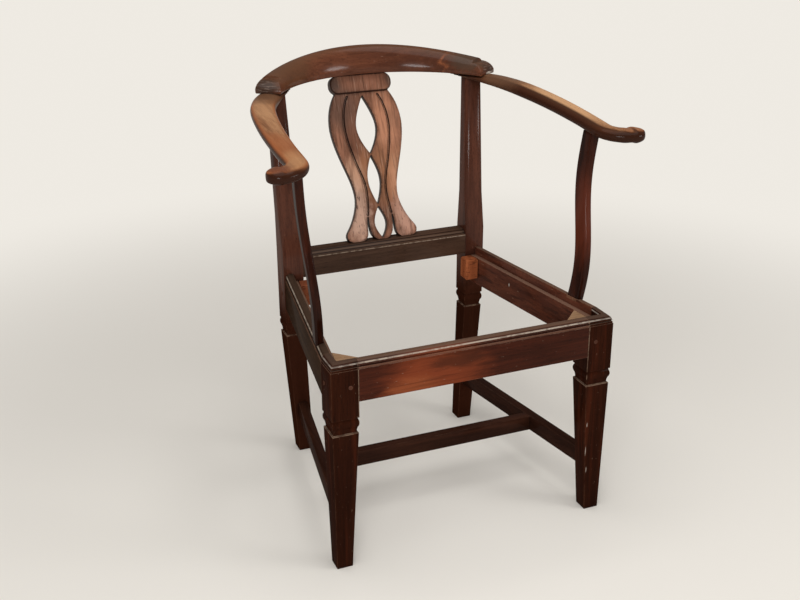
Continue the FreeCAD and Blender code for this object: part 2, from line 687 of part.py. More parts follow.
def splat_board(high):
    """Flat strapwork: an outer edge, a ring between two feet, and three piercings."""
    outer = splat_edge(high)
    toe = SPLAT_FOOT - SPLAT_TOE
    slot = RING_HALF + RING_SLOT
    flare = SPLAT_INSTEP - slot
    inner = [(SPLAT_INSTEP, 0.0), (slot + flare * 0.5, high * 0.014), (slot + flare * 0.12, high * 0.04),
             (slot, high * 0.08), (slot - RING_SLOT * 0.2, high * 0.125), (RING_HALF, high * 0.18)]
    ring = [inner[-1], (RING_HALF * 0.985, high * 0.1), (RING_HALF * 0.87, high * 0.045), (RING_FOOT, 0.0)]
    below = -SPLAT_THICK
    half = [curve_through(outer), curve_through(inner), curve_through(ring)]
    half += cut_line((0, outer[0][1]), outer[0])
    half += cut_line(outer[-1], (toe, 0), (toe, below), (SPLAT_INSTEP, below), inner[0])
    half += cut_line(ring[-1], (RING_FOOT, below), (0, below))
    board = face_between(half + [mirrored(edge) for edge in half]).extrude(Vector(0, 0, -SPLAT_THICK))
    eyes = ((0.585, 0.982, UPPER_EYE, 0.45), (0.238, 0.576, MIDDLE_EYE, 0.52),
            (0.012, 0.228, LOWER_EYE, 0.47))
    for start, end, wide, belly in eyes:
        eye = splat_opening(high * start, high * end, wide, belly)
        eye.translate(Vector(0, 0, -2 * SPLAT_THICK))
        board = board.cut(eye.extrude(Vector(0, 0, 3 * SPLAT_THICK)))
    return board


def ribbon_groove(high):
    """Carved line that parts the right ribbon in two, from the cap to the gap beside the ring."""
    shares = (0.59, 0.6, 0.62, 0.6, 0.55, 0.46, 0.47)
    middle = [(x * share, y) for (x, y), share in zip(splat_edge(high), shares)]
    middle[0] = (middle[0][0], high * 0.985)
    middle.append((RING_HALF, high * 0.17))
    wide = RIBBON_GROOVE / 2
    left = [(x - wide, y) for x, y in middle]
    right = [(x + wide, y) for x, y in middle]
    edges = [curve_through(left), curve_through(right)]
    edges += cut_line(left[0], right[0]) + cut_line(left[-1], right[-1])
    return face_between(edges).extrude(Vector(0, 0, -RIBBON_GROOVE_DEPTH))


def splat():
    foot, head, lean = splat_lean()
    length = foot.distanceToPoint(head)
    cap_top = length - CAP_BELOW_CREST
    cap_low = cap_top - CAP_HEIGHT
    groove = ribbon_groove(cap_low)
    board = splat_board(cap_low).cut(groove).cut(mirrored(groove))
    back = Vector(0, (cap_low + cap_top) / 2, -SPLAT_THICK)
    cap = Part.Face(rounded_section(back, CAP_WIDTH, CAP_HEIGHT, CAP_ROUND))
    cap = cap.extrude(Vector(0, 0, SPLAT_THICK + CAP_RAISE))
    front = [edge for edge in cap.Edges if edge.BoundBox.ZMin > CAP_RAISE * 0.99]
    cap = cap.makeFillet(CAP_RAISE * 0.8, front)
    side = CAP_WIDTH / 2 - CAP_ROUND
    neck = box(-side, side, cap_top - CAP_ROUND, length + SPLAT_THICK, -SPLAT_THICK, 0)
    shape = splat_set(joined(board, cap, neck))
    room = 2 * SPLAT_FOOT + CAP_WIDTH
    shape = shape.common(box(-room, room, 0, 2 * BOW_BACK, BACK_RAIL_TOP, CREST_BOTTOM))
    return joined(shape, *splat_tenons())


def splat_tenons(grow=0.0):
    """Two foot tenons for the back rail and one wide tenon for the crest."""
    foot, head, lean = splat_lean()
    thick = SPLAT_THICK / 2
    wide = CAP_WIDTH / 3 + grow
    root = SPLAT_THICK / 8
    y = head.y + root
    top = box(-wide, wide, y - grow, y + thick + grow,
              CREST_BOTTOM - root, CREST_BOTTOM + DOWEL_LENGTH + grow)
    y = foot.y + SPLAT_THICK / 4
    x0 = SPLAT_INSTEP + SPLAT_TENON_SHOULDER
    x1 = SPLAT_FOOT - SPLAT_TOE - SPLAT_TENON_SHOULDER
    toe = box(x0 - grow, x1 + grow, y - grow, y + thick + grow,
              BACK_RAIL_TOP - DOWEL_LENGTH - grow, BACK_RAIL_TOP + root)
    return [top, toe, mirrored(toe)]


def corner_block(leg, front, side):
    """Triangular block in the right front corner, scribed round the leg."""
    x = rail_line(RAIL_THICK) - RAIL_THICK
    corners = [(x + LEG_SIZE, 0.0), (x - CORNER_BLOCK, 0.0), (x - CORNER_BLOCK, RAIL_THICK),
               (x, RAIL_THICK + CORNER_BLOCK), (x + LEG_SIZE, RAIL_THICK + CORNER_BLOCK)]
    low = LEDGE - CORNER_BLOCK_HEIGHT
    block = prism(corners, lambda a, b: Vector(a, b, low), Vector(0, 0, CORNER_BLOCK_HEIGHT))
    block = block.cut(front).cut(side).cut(leg)
    middle = Vector(x - CORNER_BLOCK / 4, RAIL_THICK + CORNER_BLOCK / 2, low)
    return min(block.Solids, key=lambda s: s.CenterOfMass.distanceToPoint(middle))


def rear_block(side):
    """Rough block against the face of the right back post and the inside of its rail."""
    x = rail_line(SEAT_DEPTH) - RAIL_THICK
    block = box(x - REAR_BLOCK_WIDTH + POST_ARRIS, x + RAIL_THICK,
                SEAT_DEPTH - REAR_BLOCK_DEPTH, SEAT_DEPTH, LEDGE - REAR_BLOCK_HEIGHT, LEDGE)
    block = block.cut(side)
    return min(block.Solids, key=lambda s: s.CenterOfMass.x)


def front_peg(radius):
    x = HALF_FRONT - LEG_SIZE + PEG_BACK
    z = (TENON_LOW + TENON_HIGH) / 2
    return rod(Vector(x, -PEG_PROUD, z), Vector(x, PEG_LENGTH, z), radius)


def side_pegs(radius):
    z = (TENON_LOW + TENON_HIGH) / 2
    front = rod(Vector(HALF_FRONT + PEG_PROUD, LEG_SIZE - PEG_BACK, z),
                Vector(HALF_FRONT - PEG_LENGTH, LEG_SIZE - PEG_BACK, z), radius)
    rear = rod(Vector(HALF_REAR + PEG_PROUD, SEAT_DEPTH + PEG_BACK, z),
               Vector(HALF_REAR - PEG_LENGTH - RAIL_SET_IN, SEAT_DEPTH + PEG_BACK, z), radius)
    return [front, rear]


def build():
    hole = PEG_RADIUS + FIT
    leg = front_leg()
    post = back_post()
    front = front_rail()
    side = side_rail()
    back = back_rail()
    arm = arm_blank().cut(arm_rear_scarf())
    crest = crest_rail()
    support = arm_support()
    board = splat()

    # The crest lies on a flat seat cut into each arm
    over = BOW_HEIGHT + ARM_THICK
    seat = bow_cutter(CREST_TIP_ANGLE, [(0.0, CREST_BOTTOM), (0.0, over), (BOW_RADIUS, over),
                                        (BOW_RADIUS, CREST_BOTTOM)])
    arm = arm.cut(seat)

    # Blocks are scribed to the frame before it is bored
    corner = corner_block(leg, front, side)
    rear = rear_block(side)

    leg_bores = [front_tenon(FIT), side_tenon(True, FIT), side_stretcher(FIT), front_peg(hole)]
    post_bores = [side_tenon(False, FIT), back_rail_tenon(FIT), side_stretcher(FIT)]
    leg = leg.cut(leg_bores + side_pegs(hole))
    for tool in (post, post_dowel_hole(), support_body(), support_dowels(FIT)[1]):
        arm = arm.cut(tool)
    crest = crest.cut([post_dowel_hole(), mirrored(post_dowel_hole()), splat_tenons(FIT)[0]])
    post = post.cut(post_bores + side_pegs(hole))
    front = front.cut([front_peg(hole), mirrored(front_peg(hole))])
    side = side.cut(side_pegs(hole) + [support_body(), support_dowels(FIT)[0]])
    back = back.cut(splat_tenons(FIT)[1:])
    stretcher = side_stretcher().cut(cross_stretcher(FIT))

    nodes = {"front_seat_rail": front, "back_rail": back, "cross_stretcher": cross_stretcher(),
             "crest_rail": crest, "splat": board}
    pairs = {"front_leg": leg, "back_post": post, "side_seat_rail": side, "side_stretcher": stretcher,
             "arm": arm, "arm_support": support, "front_corner_block": corner, "rear_seat_block": rear}
    for name, shape in pairs.items():
        nodes[name + "_right"] = shape
        nodes[name + "_left"] = mirrored(shape)
    peg = front_peg(PEG_RADIUS)
    nodes["front_rail_pegs"] = Part.makeCompound([peg, mirrored(peg)])
    pegs = side_pegs(PEG_RADIUS)
    nodes["side_rail_pegs"] = Part.makeCompound(pegs + [mirrored(p) for p in pegs])
    return nodes


def hand_out(nodes):
    """Moves the chair so that the middle of its footprint is the origin, and writes each node."""
    bound = Part.makeCompound(list(nodes.values())).optimalBoundingBox(False, False)
    shift = Vector(-bound.Center.x, -bound.Center.y, -bound.ZMin)
    for name, shape in nodes.items():
        moved = shape.copy()
        moved.translate(shift)
        moved.exportStep("parts/" + name + ".step")
    size = [round(length, 1) for length in (bound.XLength, bound.YLength, bound.ZLength)]
    print("size", *size, "nodes", len(nodes))


hand_out(build())
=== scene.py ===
# %% [markdown]
# # An old bow-back elbow chair
# A mahogany chair whose arms and back make one bow. The loose seat is out, so the rebate that
# carries it shows. The joinery comes ready-made from the frame; this lesson softens its
# edges, polishes, wears and lights it.

# %% Load the frame
import math

import bpy
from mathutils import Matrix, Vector


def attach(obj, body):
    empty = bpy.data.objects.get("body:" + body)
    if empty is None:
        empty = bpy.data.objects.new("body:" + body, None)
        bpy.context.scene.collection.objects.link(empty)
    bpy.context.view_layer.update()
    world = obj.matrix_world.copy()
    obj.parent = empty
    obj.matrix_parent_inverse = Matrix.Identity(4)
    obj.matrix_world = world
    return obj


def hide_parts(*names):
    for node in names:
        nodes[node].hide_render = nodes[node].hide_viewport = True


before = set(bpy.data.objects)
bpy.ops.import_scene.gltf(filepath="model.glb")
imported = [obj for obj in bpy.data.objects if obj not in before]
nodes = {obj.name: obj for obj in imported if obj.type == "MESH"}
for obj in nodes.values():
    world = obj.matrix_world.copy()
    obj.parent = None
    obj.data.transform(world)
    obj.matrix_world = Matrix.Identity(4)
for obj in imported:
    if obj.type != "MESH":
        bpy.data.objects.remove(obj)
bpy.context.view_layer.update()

print("pieces in the frame:", len(nodes))

# %% [markdown]
# ## The camera
# The chair is seen from its front left corner, a little above the crest. A constraint could aim
# the camera at the seat, but its place, turn and lens follow from the vanishing lines of the seat
# frame, so they are set by numbers.

# %% Camera
CAMERA_PLACE = (-0.8684, -2.0445, 1.3135)
CAMERA_TURN = (67.4026, 0.1683, -22.4590)
LENS_MM = 51.75

bpy.ops.object.select_all(action="DESELECT")
bpy.ops.object.camera_add(location=CAMERA_PLACE,
                          rotation=[math.radians(a) for a in CAMERA_TURN])
camera = bpy.context.active_object
camera.name = "room_view"
camera.data.lens = LENS_MM
camera.data.sensor_width = 36.0
camera.data.sensor_fit = "HORIZONTAL"
bpy.context.scene.camera = camera
print("camera at", [round(v, 3) for v in camera.location])

# %% [markdown]
# ## Small tools for shader trees
# Every finish below is a tree of nodes. These helpers add a node, wire it and set its values, so
# that each finish reads as a short recipe.

# %% Node helpers


def join(tree, node, values):
    """Set or link inputs of a node, by socket name or number."""
    for key, value in values.items():
        if isinstance(value, bpy.types.NodeSocket):
            tree.links.new(value, node.inputs[key])
        else:
            node.inputs[key].default_value = value


def add_node(tree, kind, values=None, **settings):
    """A new node with its settings made and its inputs set or linked."""
    made = tree.nodes.new("ShaderNode" + kind)
    for key, value in settings.items():
        setattr(made, key, value)
    join(tree, made, values or {})
    return made


def colour(rgb):
    """A colour with full alpha."""
    return (*rgb, 1.0)


def mixed(tree, share, first, second):
    """Two colours mixed by a share, which may each be a link or a plain value."""
    node = add_node(tree, "Mix", data_type="RGBA")
    for socket, value in (("Factor_Float", share), ("A_Color", first), ("B_Color", second)):
        place = [s for s in node.inputs if s.identifier == socket][0]
        if isinstance(value, bpy.types.NodeSocket):
            tree.links.new(value, place)
        else:
            place.default_value = value
    return [s for s in node.outputs if s.identifier == "Result_Color"][0]


def maths(tree, how, first, second=0.0, clamp=False):
    """One step of arithmetic on links or plain values."""
    return add_node(tree, "Math", {0: first, 1: second}, operation=how, use_clamp=clamp).outputs[0]


def dotted(tree, first, second):
    """How far one vector reaches along another."""
    return add_node(tree, "VectorMath", {0: first, 1: second}, operation="DOT_PRODUCT").outputs["Value"]


def ramped(tree, value, low, high, to_low=0.0, to_high=1.0):
    """Smooth step of a value between two limits."""
    made = add_node(tree, "MapRange", {"Value": value, "From Min": low, "From Max": high,
                                       "To Min": to_low, "To Max": to_high},
                    interpolation_type="SMOOTHSTEP")
    return made.outputs["Result"]


def noise(tree, vector, scale, detail, roughness=0.5):
    """Soft random spots, as many to the metre as the scale says."""
    made = add_node(tree, "TexNoise", {"Vector": vector, "Scale": scale, "Detail": detail,
                                       "Roughness": roughness})
    return made.outputs["Fac"]


def stretched(tree, vector, scale, turn=(0, 0, 0)):
    """Coordinates turned, then scaled by a different amount along each axis."""
    turned = add_node(tree, "Mapping", {"Vector": vector, "Rotation": turn})
    return add_node(tree, "Mapping", {"Vector": turned.outputs[0], "Scale": scale}).outputs[0]


def new_group(name, inputs, outputs):
    """An empty shader node group with named sockets, and its two end nodes."""
    tree = bpy.data.node_groups.new(name, "ShaderNodeTree")
    for label, kind, value in inputs:
        socket = tree.interface.new_socket(name=label, in_out="INPUT", socket_type="NodeSocket" + kind)
        if value is not None:
            socket.default_value = value
    for label, kind in outputs:
        tree.interface.new_socket(name=label, in_out="OUTPUT", socket_type="NodeSocket" + kind)
    start = tree.nodes.new("NodeGroupInput")
    end = tree.nodes.new("NodeGroupOutput")
    return tree, start.outputs, end.inputs


print("helpers ready")

# %% [markdown]
# ## Floor and room
# The floor is plain and pale and keeps the chair's shadow. Far from the chair, and only for the
# eye and for reflections, it turns into its own even colour, so that it meets the room without
# a horizon. A sheet curved up behind the chair would do the same from one side only. From below
# the floor is clear, so that the underside can be looked at.

# %% Floor and room
FLOOR_SIZE = 40.0
PALE = (0.86, 0.825, 0.765)
FADE_NEAR, FADE_FAR = 0.7, 2.2    # metres from the chair over which the floor turns even
SKY_LEVEL = 0.30


def seen_or_mirrored(tree):
    """One for what the eye sees directly, in a reflection or through glass, else zero."""
    path = add_node(tree, "LightPath")
    seen = maths(tree, "MAXIMUM", path.outputs["Is Camera Ray"], path.outputs["Is Glossy Ray"])
    return maths(tree, "MAXIMUM", seen, path.outputs["Is Transmission Ray"])


bpy.ops.mesh.primitive_plane_add(size=FLOOR_SIZE, location=(0, 0, 0))
floor = bpy.context.active_object
floor.name = "pale_floor"

floor_paint = bpy.data.materials.new("pale_floor")
floor_paint.use_nodes = True
tree = floor_paint.node_tree
paint = tree.nodes["Principled BSDF"]
paint.inputs["Base Color"].default_value = colour(PALE)
paint.inputs["Roughness"].default_value = 0.9
paint.inputs["Specular IOR Level"].default_value = 0.05
place = add_node(tree, "TexCoord").outputs["Object"]
away = add_node(tree, "VectorMath", {0: place}, operation="LENGTH").outputs["Value"]
share = maths(tree, "MULTIPLY", ramped(tree, away, FADE_NEAR, FADE_FAR), seen_or_mirrored(tree))
even = add_node(tree, "Emission", {"Color": colour(PALE), "Strength": 1.0})
both = add_node(tree, "MixShader", {0: share, 1: paint.outputs[0], 2: even.outputs[0]})
below = add_node(tree, "NewGeometry").outputs["Backfacing"]
clear = add_node(tree, "BsdfTransparent")
whole = add_node(tree, "MixShader", {0: below, 1: both.outputs[0], 2: clear.outputs[0]})
tree.links.new(whole.outputs[0], tree.nodes["Material Output"].inputs["Surface"])
floor.data.materials.append(floor_paint)

world = bpy.data.worlds.new("studio")
bpy.context.scene.world = world
world.use_nodes = True
tree = world.node_tree
sky = tree.nodes["Background"]
path = add_node(tree, "LightPath")
sky.inputs["Color"].default_value = (1.0, 0.97, 0.93, 1.0)
sky.inputs["Strength"].default_value = SKY_LEVEL
backdrop = add_node(tree, "Background", {"Color": colour(PALE), "Strength": 1.0})
room = add_node(tree, "MixShader", {0: path.outputs["Is Camera Ray"], 1: sky.outputs[0],
                                    2: backdrop.outputs[0]})
tree.links.new(room.outputs[0], tree.nodes["World Output"].inputs["Surface"])

view = bpy.context.scene.view_settings
view.view_transform = "Standard"
print("floor", floor.name, "world", world.name)

# %% [markdown]
# ## Light
# Dark polished wood shows its form mostly by reflections. A wide panel overhead gives the plain
# level; a long low one at the front left and another at the front right draw the two long
# highlights on the front of the crest, as two windows would. Point lamps would leave hard dots
# there, so all three are area lamps.

# %% Lights


def light_panel(name, place, aim, wide, high, watts):
    """A soft oval lamp at a place, turned towards a point."""
    bpy.ops.object.light_add(type="AREA", location=place)
    lamp = bpy.context.active_object
    lamp.name = name
    lamp.data.shape = "ELLIPSE"
    lamp.data.size = wide
    lamp.data.size_y = high
    lamp.data.energy = watts
    towards = [b - a for a, b in zip(place, aim)]
    flat = math.hypot(towards[0], towards[1])
    lamp.rotation_euler = (math.atan2(flat, -towards[2]), 0.0, math.atan2(-towards[0], towards[1]))


light_panel("overhead", (-0.3, -0.5, 3.0), (0.0, 0.0, 0.4), 3.4, 3.4, 54.0)
light_panel("front_left", (-1.25, -2.2, 1.05), (0.0, 0.1, 0.6), 1.1, 0.40, 19.0)
light_panel("front_right", (1.9, -1.6, 1.0), (0.0, 0.1, 0.6), 1.0, 0.34, 13.0)

# %% [markdown]
# ## Mahogany grain
# Old mahogany has broad darker streaks, narrower ribbons, fine fibres and short open pores, all
# along the board. The group takes coordinates whose X runs along the board, so one recipe serves
# every piece: each material only turns the coordinates. Stretching a noise gives streaks that
# fade in and out as real ones do; a wave texture would look like painted stripes.

# %% Grain group
grain_tree, g_in, g_out = new_group(
    "mahogany_grain",
    [("Along", "Vector", None), ("Pale", "Color", (0.3, 0.12, 0.06, 1)),
     ("Deep", "Color", (0.08, 0.03, 0.02, 1)), ("Streaks", "Float", 0.6), ("Pores", "Float", 0.5)],
    [("Color", "Color"), ("Height", "Float")])


def drawn_out(along, across, detail, roughness=0.5):
    """A noise with so many spots to the metre along the board and across it."""
    run = stretched(grain_tree, g_in["Along"], (along, across, across))
    return noise(grain_tree, run, 1.0, detail, roughness)


broad = drawn_out(2.6, 34.0, 4.0, 0.6)
ribbons = drawn_out(5.0, 110.0, 3.0, 0.55)
fibres = drawn_out(9.0, 300.0, 3.0, 0.6)
pores = drawn_out(60.0, 1100.0, 1.0)
patches = drawn_out(5.0, 11.0, 2.0)
streak = maths(grain_tree, "ADD", maths(grain_tree, "MULTIPLY", broad, 0.62),
               maths(grain_tree, "MULTIPLY", ribbons, 0.38))
streak = ramped(grain_tree, streak, 0.36, 0.64)
streak = maths(grain_tree, "MULTIPLY", streak, g_in["Streaks"])
soft = maths(grain_tree, "MULTIPLY", ramped(grain_tree, patches, 0.35, 0.7), 0.40)
depth = maths(grain_tree, "ADD", streak, soft, clamp=True)
wood = mixed(grain_tree, depth, g_in["Pale"], g_in["Deep"])
fibre = maths(grain_tree, "MULTIPLY", ramped(grain_tree, fibres, 0.4, 0.75), 0.45)
wood = mixed(grain_tree, fibre, wood, g_in["Deep"])
pore = maths(grain_tree, "MULTIPLY", ramped(grain_tree, pores, 0.60, 0.70), g_in["Pores"])
black = mixed(grain_tree, 0.75, g_in["Deep"], (0.004, 0.002, 0.002, 1))
wood = mixed(grain_tree, pore, wood, black)
height = maths(grain_tree, "MULTIPLY", fibres, 0.35)
height = maths(grain_tree, "SUBTRACT", height, pore)
grain_tree.links.new(wood, g_out["Color"])
grain_tree.links.new(height, g_out["Height"])
print("group:", grain_tree.name)

# %% [markdown]
# ## Wear, wax and painted shade
# Long years of hands and dusters rub the polish off the arrises and leave dark wax in the
# corners. Both could be painted on by hand; here the edge and hollow masks come from ambient
# occlusion in each material, which finds every edge by itself. The pale colour on the arrises is
# wear and also a painted highlight, the thin light that an arris catches; on the splat the edge
# colour is dark, and there it is painted shade. The hollow mask darkens corners, creases and the
# places where pieces meet as well, so its dark colour is wax and painted shade at once. This
# group breaks the masks up with noise, so that the wear is uneven, and mixes the three colours.

# %% Wear group
wear_tree, w_in, w_out = new_group(
    "rubbed_waxed_and_shaded",
    [("Place", "Vector", None), ("Wood", "Color", None), ("Edge Wear and Shading", "Color", (0.4, 0.22, 0.12, 1)),
     ("Wax and Shade", "Color", (0.010, 0.006, 0.005, 1)), ("Edge", "Float", 0.0), ("Hollow", "Float", 0.0),
     ("Rub and Shading", "Float", 0.6), ("Dirt and Shade", "Float", 0.6)],
    [("Color", "Color"), ("Rough", "Float")])
blotch = noise(wear_tree, w_in["Place"], 38.0, 4.0, 0.65)
speck = noise(wear_tree, w_in["Place"], 210.0, 3.0, 0.6)
uneven = maths(wear_tree, "ADD", maths(wear_tree, "MULTIPLY", blotch, 0.7),
               maths(wear_tree, "MULTIPLY", speck, 0.3))
# Edge mask: wear with a painted highlight on the arrises; painted shade where the edge colour is dark, as on
# the splat.
rub_and_shading = maths(wear_tree, "MULTIPLY", w_in["Edge"], ramped(wear_tree, uneven, 0.36, 0.62))
rub_and_shading = maths(wear_tree, "MULTIPLY", rub_and_shading, w_in["Rub and Shading"], clamp=True)
# Hollow mask: dark wax, and painted shade in corners, creases and where pieces meet.
dirt_and_shade = maths(wear_tree, "MULTIPLY", w_in["Hollow"], ramped(wear_tree, uneven, 0.25, 0.6, 0.45, 1.0))
dirt_and_shade = maths(wear_tree, "MULTIPLY", dirt_and_shade, w_in["Dirt and Shade"], clamp=True)
worn_and_shaded = mixed(wear_tree, rub_and_shading, w_in["Wood"], w_in["Edge Wear and Shading"])
worn_and_shaded = mixed(wear_tree, dirt_and_shade, worn_and_shaded, w_in["Wax and Shade"])
haze = noise(wear_tree, w_in["Place"], 14.0, 4.0, 0.6)
rough = ramped(wear_tree, haze, 0.3, 0.72, -0.07, 0.10)
rough = maths(wear_tree, "ADD", rough, maths(wear_tree, "MULTIPLY", rub_and_shading, 0.16))
rough = maths(wear_tree, "ADD", rough, maths(wear_tree, "MULTIPLY", dirt_and_shade, 0.14))
wear_tree.links.new(worn_and_shaded, w_out["Color"])
wear_tree.links.new(rough, w_out["Rough"])
print("group:", wear_tree.name)

# %% [markdown]
# ## Dents and scratches
# Polished wood that has been knocked about is never quite flat: it has slow waves from the
# plane, small dents and fine scratches. Modelled, they would need a very fine mesh; they only
# show in the highlights, so they go into the bump height.

# %% Dents group
dent_tree, d_in, d_out = new_group(
    "dents_and_scratches",
    [("Place", "Vector", None), ("Along", "Vector", None), ("Waves", "Float", 0.5),
     ("Dents", "Float", 0.4), ("Scratches", "Float", 0.3)],
    [("Height", "Float")])
waves = noise(dent_tree, d_in["Place"], 22.0, 1.5)
pits = add_node(dent_tree, "TexVoronoi", {"Vector": d_in["Place"], "Scale": 46.0}).outputs["Distance"]
pits = ramped(dent_tree, pits, 0.0, 0.16, -1.0, 0.0)
cuts = noise(dent_tree, stretched(dent_tree, d_in["Along"], (14.0, 500.0, 500.0), (0.2, 0.3, 0.45)),
             1.0, 1.0)
cuts = ramped(dent_tree, cuts, 0.66, 0.72, 0.0, -1.0)
height = maths(dent_tree, "MULTIPLY", waves, d_in["Waves"])
height = maths(dent_tree, "ADD", height, maths(dent_tree, "MULTIPLY", pits, d_in["Dents"]))
height = maths(dent_tree, "ADD", height, maths(dent_tree, "MULTIPLY", cuts, d_in["Scratches"]))
dent_tree.links.new(height, d_out["Height"])
print("group:", dent_tree.name)

# %% [markdown]
# ## A mark in one place
# A faded patch or a scuff belongs to one place. It could be painted as a picture; a spherical
# gradient, moved and stretched there, makes a soft mask without one, and a noise frays its edge.

# %% Local mark group
spot_tree, m_in, m_out = new_group(
    "local_mark",
    [("Place", "Vector", None), ("Spot", "Vector", None), ("Fray", "Float", 0.5), ("Grain", "Float", 60.0)],
    [("Mask", "Float")])
ball = add_node(spot_tree, "TexGradient", {"Vector": m_in["Spot"]}, gradient_type="SPHERICAL").outputs["Fac"]
fray = noise(spot_tree, m_in["Place"], m_in["Grain"], 4.0, 0.65)
fray = maths(spot_tree, "MULTIPLY", maths(spot_tree, "SUBTRACT", fray, 0.5), m_in["Fray"])
inside = ramped(spot_tree, ball, 0.0, 0.12)
edge = maths(spot_tree, "MULTIPLY", maths(spot_tree, "ADD", ball, fray), inside)
spot_tree.links.new(ramped(spot_tree, edge, 0.03, 0.7), m_out["Mask"])
print("group:", spot_tree.name)

# %% [markdown]
# ## The way a surface faces
# Tops that sleeves rub and undersides that stay dark differ only by the way they face. A second
# material on picked faces would end in a hard edge, so this group compares the surface normal
# with a direction and fades between two limits.

# %% Facing group
face_tree, f_in, f_out = new_group(
    "looking_towards",
    [("Normal", "Vector", None), ("Towards", "Vector", (0, 0, 1)), ("Low", "Float", 0.4),
     ("High", "Float", 0.9)],
    [("Mask", "Float")])
lean = dotted(face_tree, f_in["Normal"], f_in["Towards"])
face_tree.links.new(ramped(face_tree, lean, f_in["Low"], f_in["High"]), f_out["Mask"])
print("group:", face_tree.name)

# %% [markdown]
# ## A straight line
# A rubbed arris or a crack is a thin straight band. Cut into the mesh it would need new edges;
# here it is whatever lies at one distance along a direction, and a noise breaks it up.

# %% Line group
line_tree, l_in, l_out = new_group(
    "drawn_line",
    [("Place", "Vector", None), ("Across", "Vector", (0, 0, 1)), ("At", "Float", 0.0),
     ("Half", "Float", 0.001), ("Soft", "Float", 0.0006), ("Breaks", "Float", 0.0)],
    [("Mask", "Float")])
off = maths(line_tree, "SUBTRACT", dotted(line_tree, l_in["Place"], l_in["Across"]), l_in["At"])
off = maths(line_tree, "ABSOLUTE", off)
near = maths(line_tree, "SUBTRACT", l_in["Half"], l_in["Soft"])
far = maths(line_tree, "ADD", l_in["Half"], l_in["Soft"])
band = maths(line_tree, "SUBTRACT", 1.0, ramped(line_tree, off, near, far))
gaps = ramped(line_tree, noise(line_tree, l_in["Place"], 90.0, 3.0, 0.6), 0.56, 0.40)
kept = maths(line_tree, "SUBTRACT", 1.0, maths(line_tree, "MULTIPLY", gaps, l_in["Breaks"]))
line_tree.links.new(maths(line_tree, "MULTIPLY", band, kept), l_out["Mask"])
print("group:", line_tree.name)

# %% [markdown]
# ## Specks and scratches
# Small marks lie all over old wood, too many to place one by one. A noise of which only the
# peaks are kept scatters specks, and stretched coordinates draw them out to scratches.

# %% Speck group
speck_tree, s_in, s_out = new_group(
    "scattered_marks",
    [("Place", "Vector", None), ("Low", "Float", 0.6), ("High", "Float", 0.68)], [("Mask", "Float")])
crumbs = noise(speck_tree, s_in["Place"], 1.0, 3.0, 0.55)
speck_tree.links.new(ramped(speck_tree, crumbs, s_in["Low"], s_in["High"]), s_out["Mask"])
print("group:", speck_tree.name)

# %% [markdown]
# ## Layers of colour
# The colour of old wood is a stack of layers: a stain here, a rubbed band there. Each layer is
# one colour and a mask, and the mask is the product of those of the four groups that the layer
# names. So a mark can be kept to one place, one side and one line at once.

# %% Layer mask
UP, FRONT, TO_RIGHT, TO_LEFT = (0, 0, 1), (0, -1, 0), (1, 0, 0), (-1, 0, 0)


def layer_mask(tree, place, normal, strength=1.0, spot=None, facing=None, line=None, specks=None,
               fray=0.5, grain=60.0, stretch=(1.0, 1.0, 1.0), soft=0.0006, breaks=0.0):
    """Where a layer lies: its spot, facing, line and specks, whichever it has, multiplied.

    A spot is a middle and half sizes, a facing a direction and two limits, a line a direction,
    a distance along it and a half width, and specks a stretch and two limits.
    """
    masks = []
    if spot:
        scale = [1.0 / h for h in spot[1]]
        shift = [-m * s for m, s in zip(spot[0], scale)]
        ball = add_node(tree, "Mapping", {"Vector": place, "Scale": scale, "Location": shift}).outputs[0]
        drawn = add_node(tree, "Mapping", {"Vector": place, "Scale": stretch}).outputs[0]
        masks.append((spot_tree, {"Place": drawn, "Spot": ball, "Fray": fray, "Grain": grain}))
    if facing:
        masks.append((face_tree, {"Normal": normal, "Towards": facing[0], "Low": facing[1],
                                  "High": facing[2]}))
    if line:
        masks.append((line_tree, {"Place": place, "Across": line[0], "At": line[1], "Half": line[2],
                                  "Soft": soft, "Breaks": breaks}))
    if specks:
        crumbs = add_node(tree, "Mapping", {"Vector": place, "Scale": specks[0]}).outputs[0]
        masks.append((speck_tree, {"Place": crumbs, "Low": specks[1], "High": specks[2]}))
    total = strength
    for group, values in masks:
        mask = add_node(tree, "Group", values, node_tree=group)
        total = maths(tree, "MULTIPLY", mask.outputs["Mask"], total)
    return total


print("layer masks from", [g.name for g in (spot_tree, face_tree, line_tree, speck_tree)])

# %% [markdown]
# ## Polished mahogany
# One function makes the finish of a piece: grain along the board, the layers of colour, then wear
# and wax, then a polish whose gloss changes with the wear. One material for the whole chair would
# be simpler, but its parts have aged differently, so each gets its own colours. The dark wood
# has hardly any shine of its own; only the thin coat of polish reflects the room.

# %% Finish function
ALONG_X = (0.0, 0.0, 0.0)
ALONG_Y = (0.0, 0.0, math.radians(-90))
ALONG_Z = (0.0, math.radians(90), 0.0)
PORES = 0.5
COAT_ROUGHNESS = 0.16
AO_RAYS = 6
FIBRE_RELIEF = 0.25
BUMP_STRENGTH, BUMP_DEPTH = 0.55, 0.0012
DULL_FADE = 0.06      # metres over which the polish fades out towards the feet


def occluded(tree, distance_mm, limits, **settings):
    """Ambient occlusion over a distance, as a mask that opens between two limits."""
    shade = add_node(tree, "AmbientOcclusion", {"Distance": distance_mm / 1000}, samples=AO_RAYS, **settings)
    return ramped(tree, shade.outputs["AO"], limits[0], limits[1])


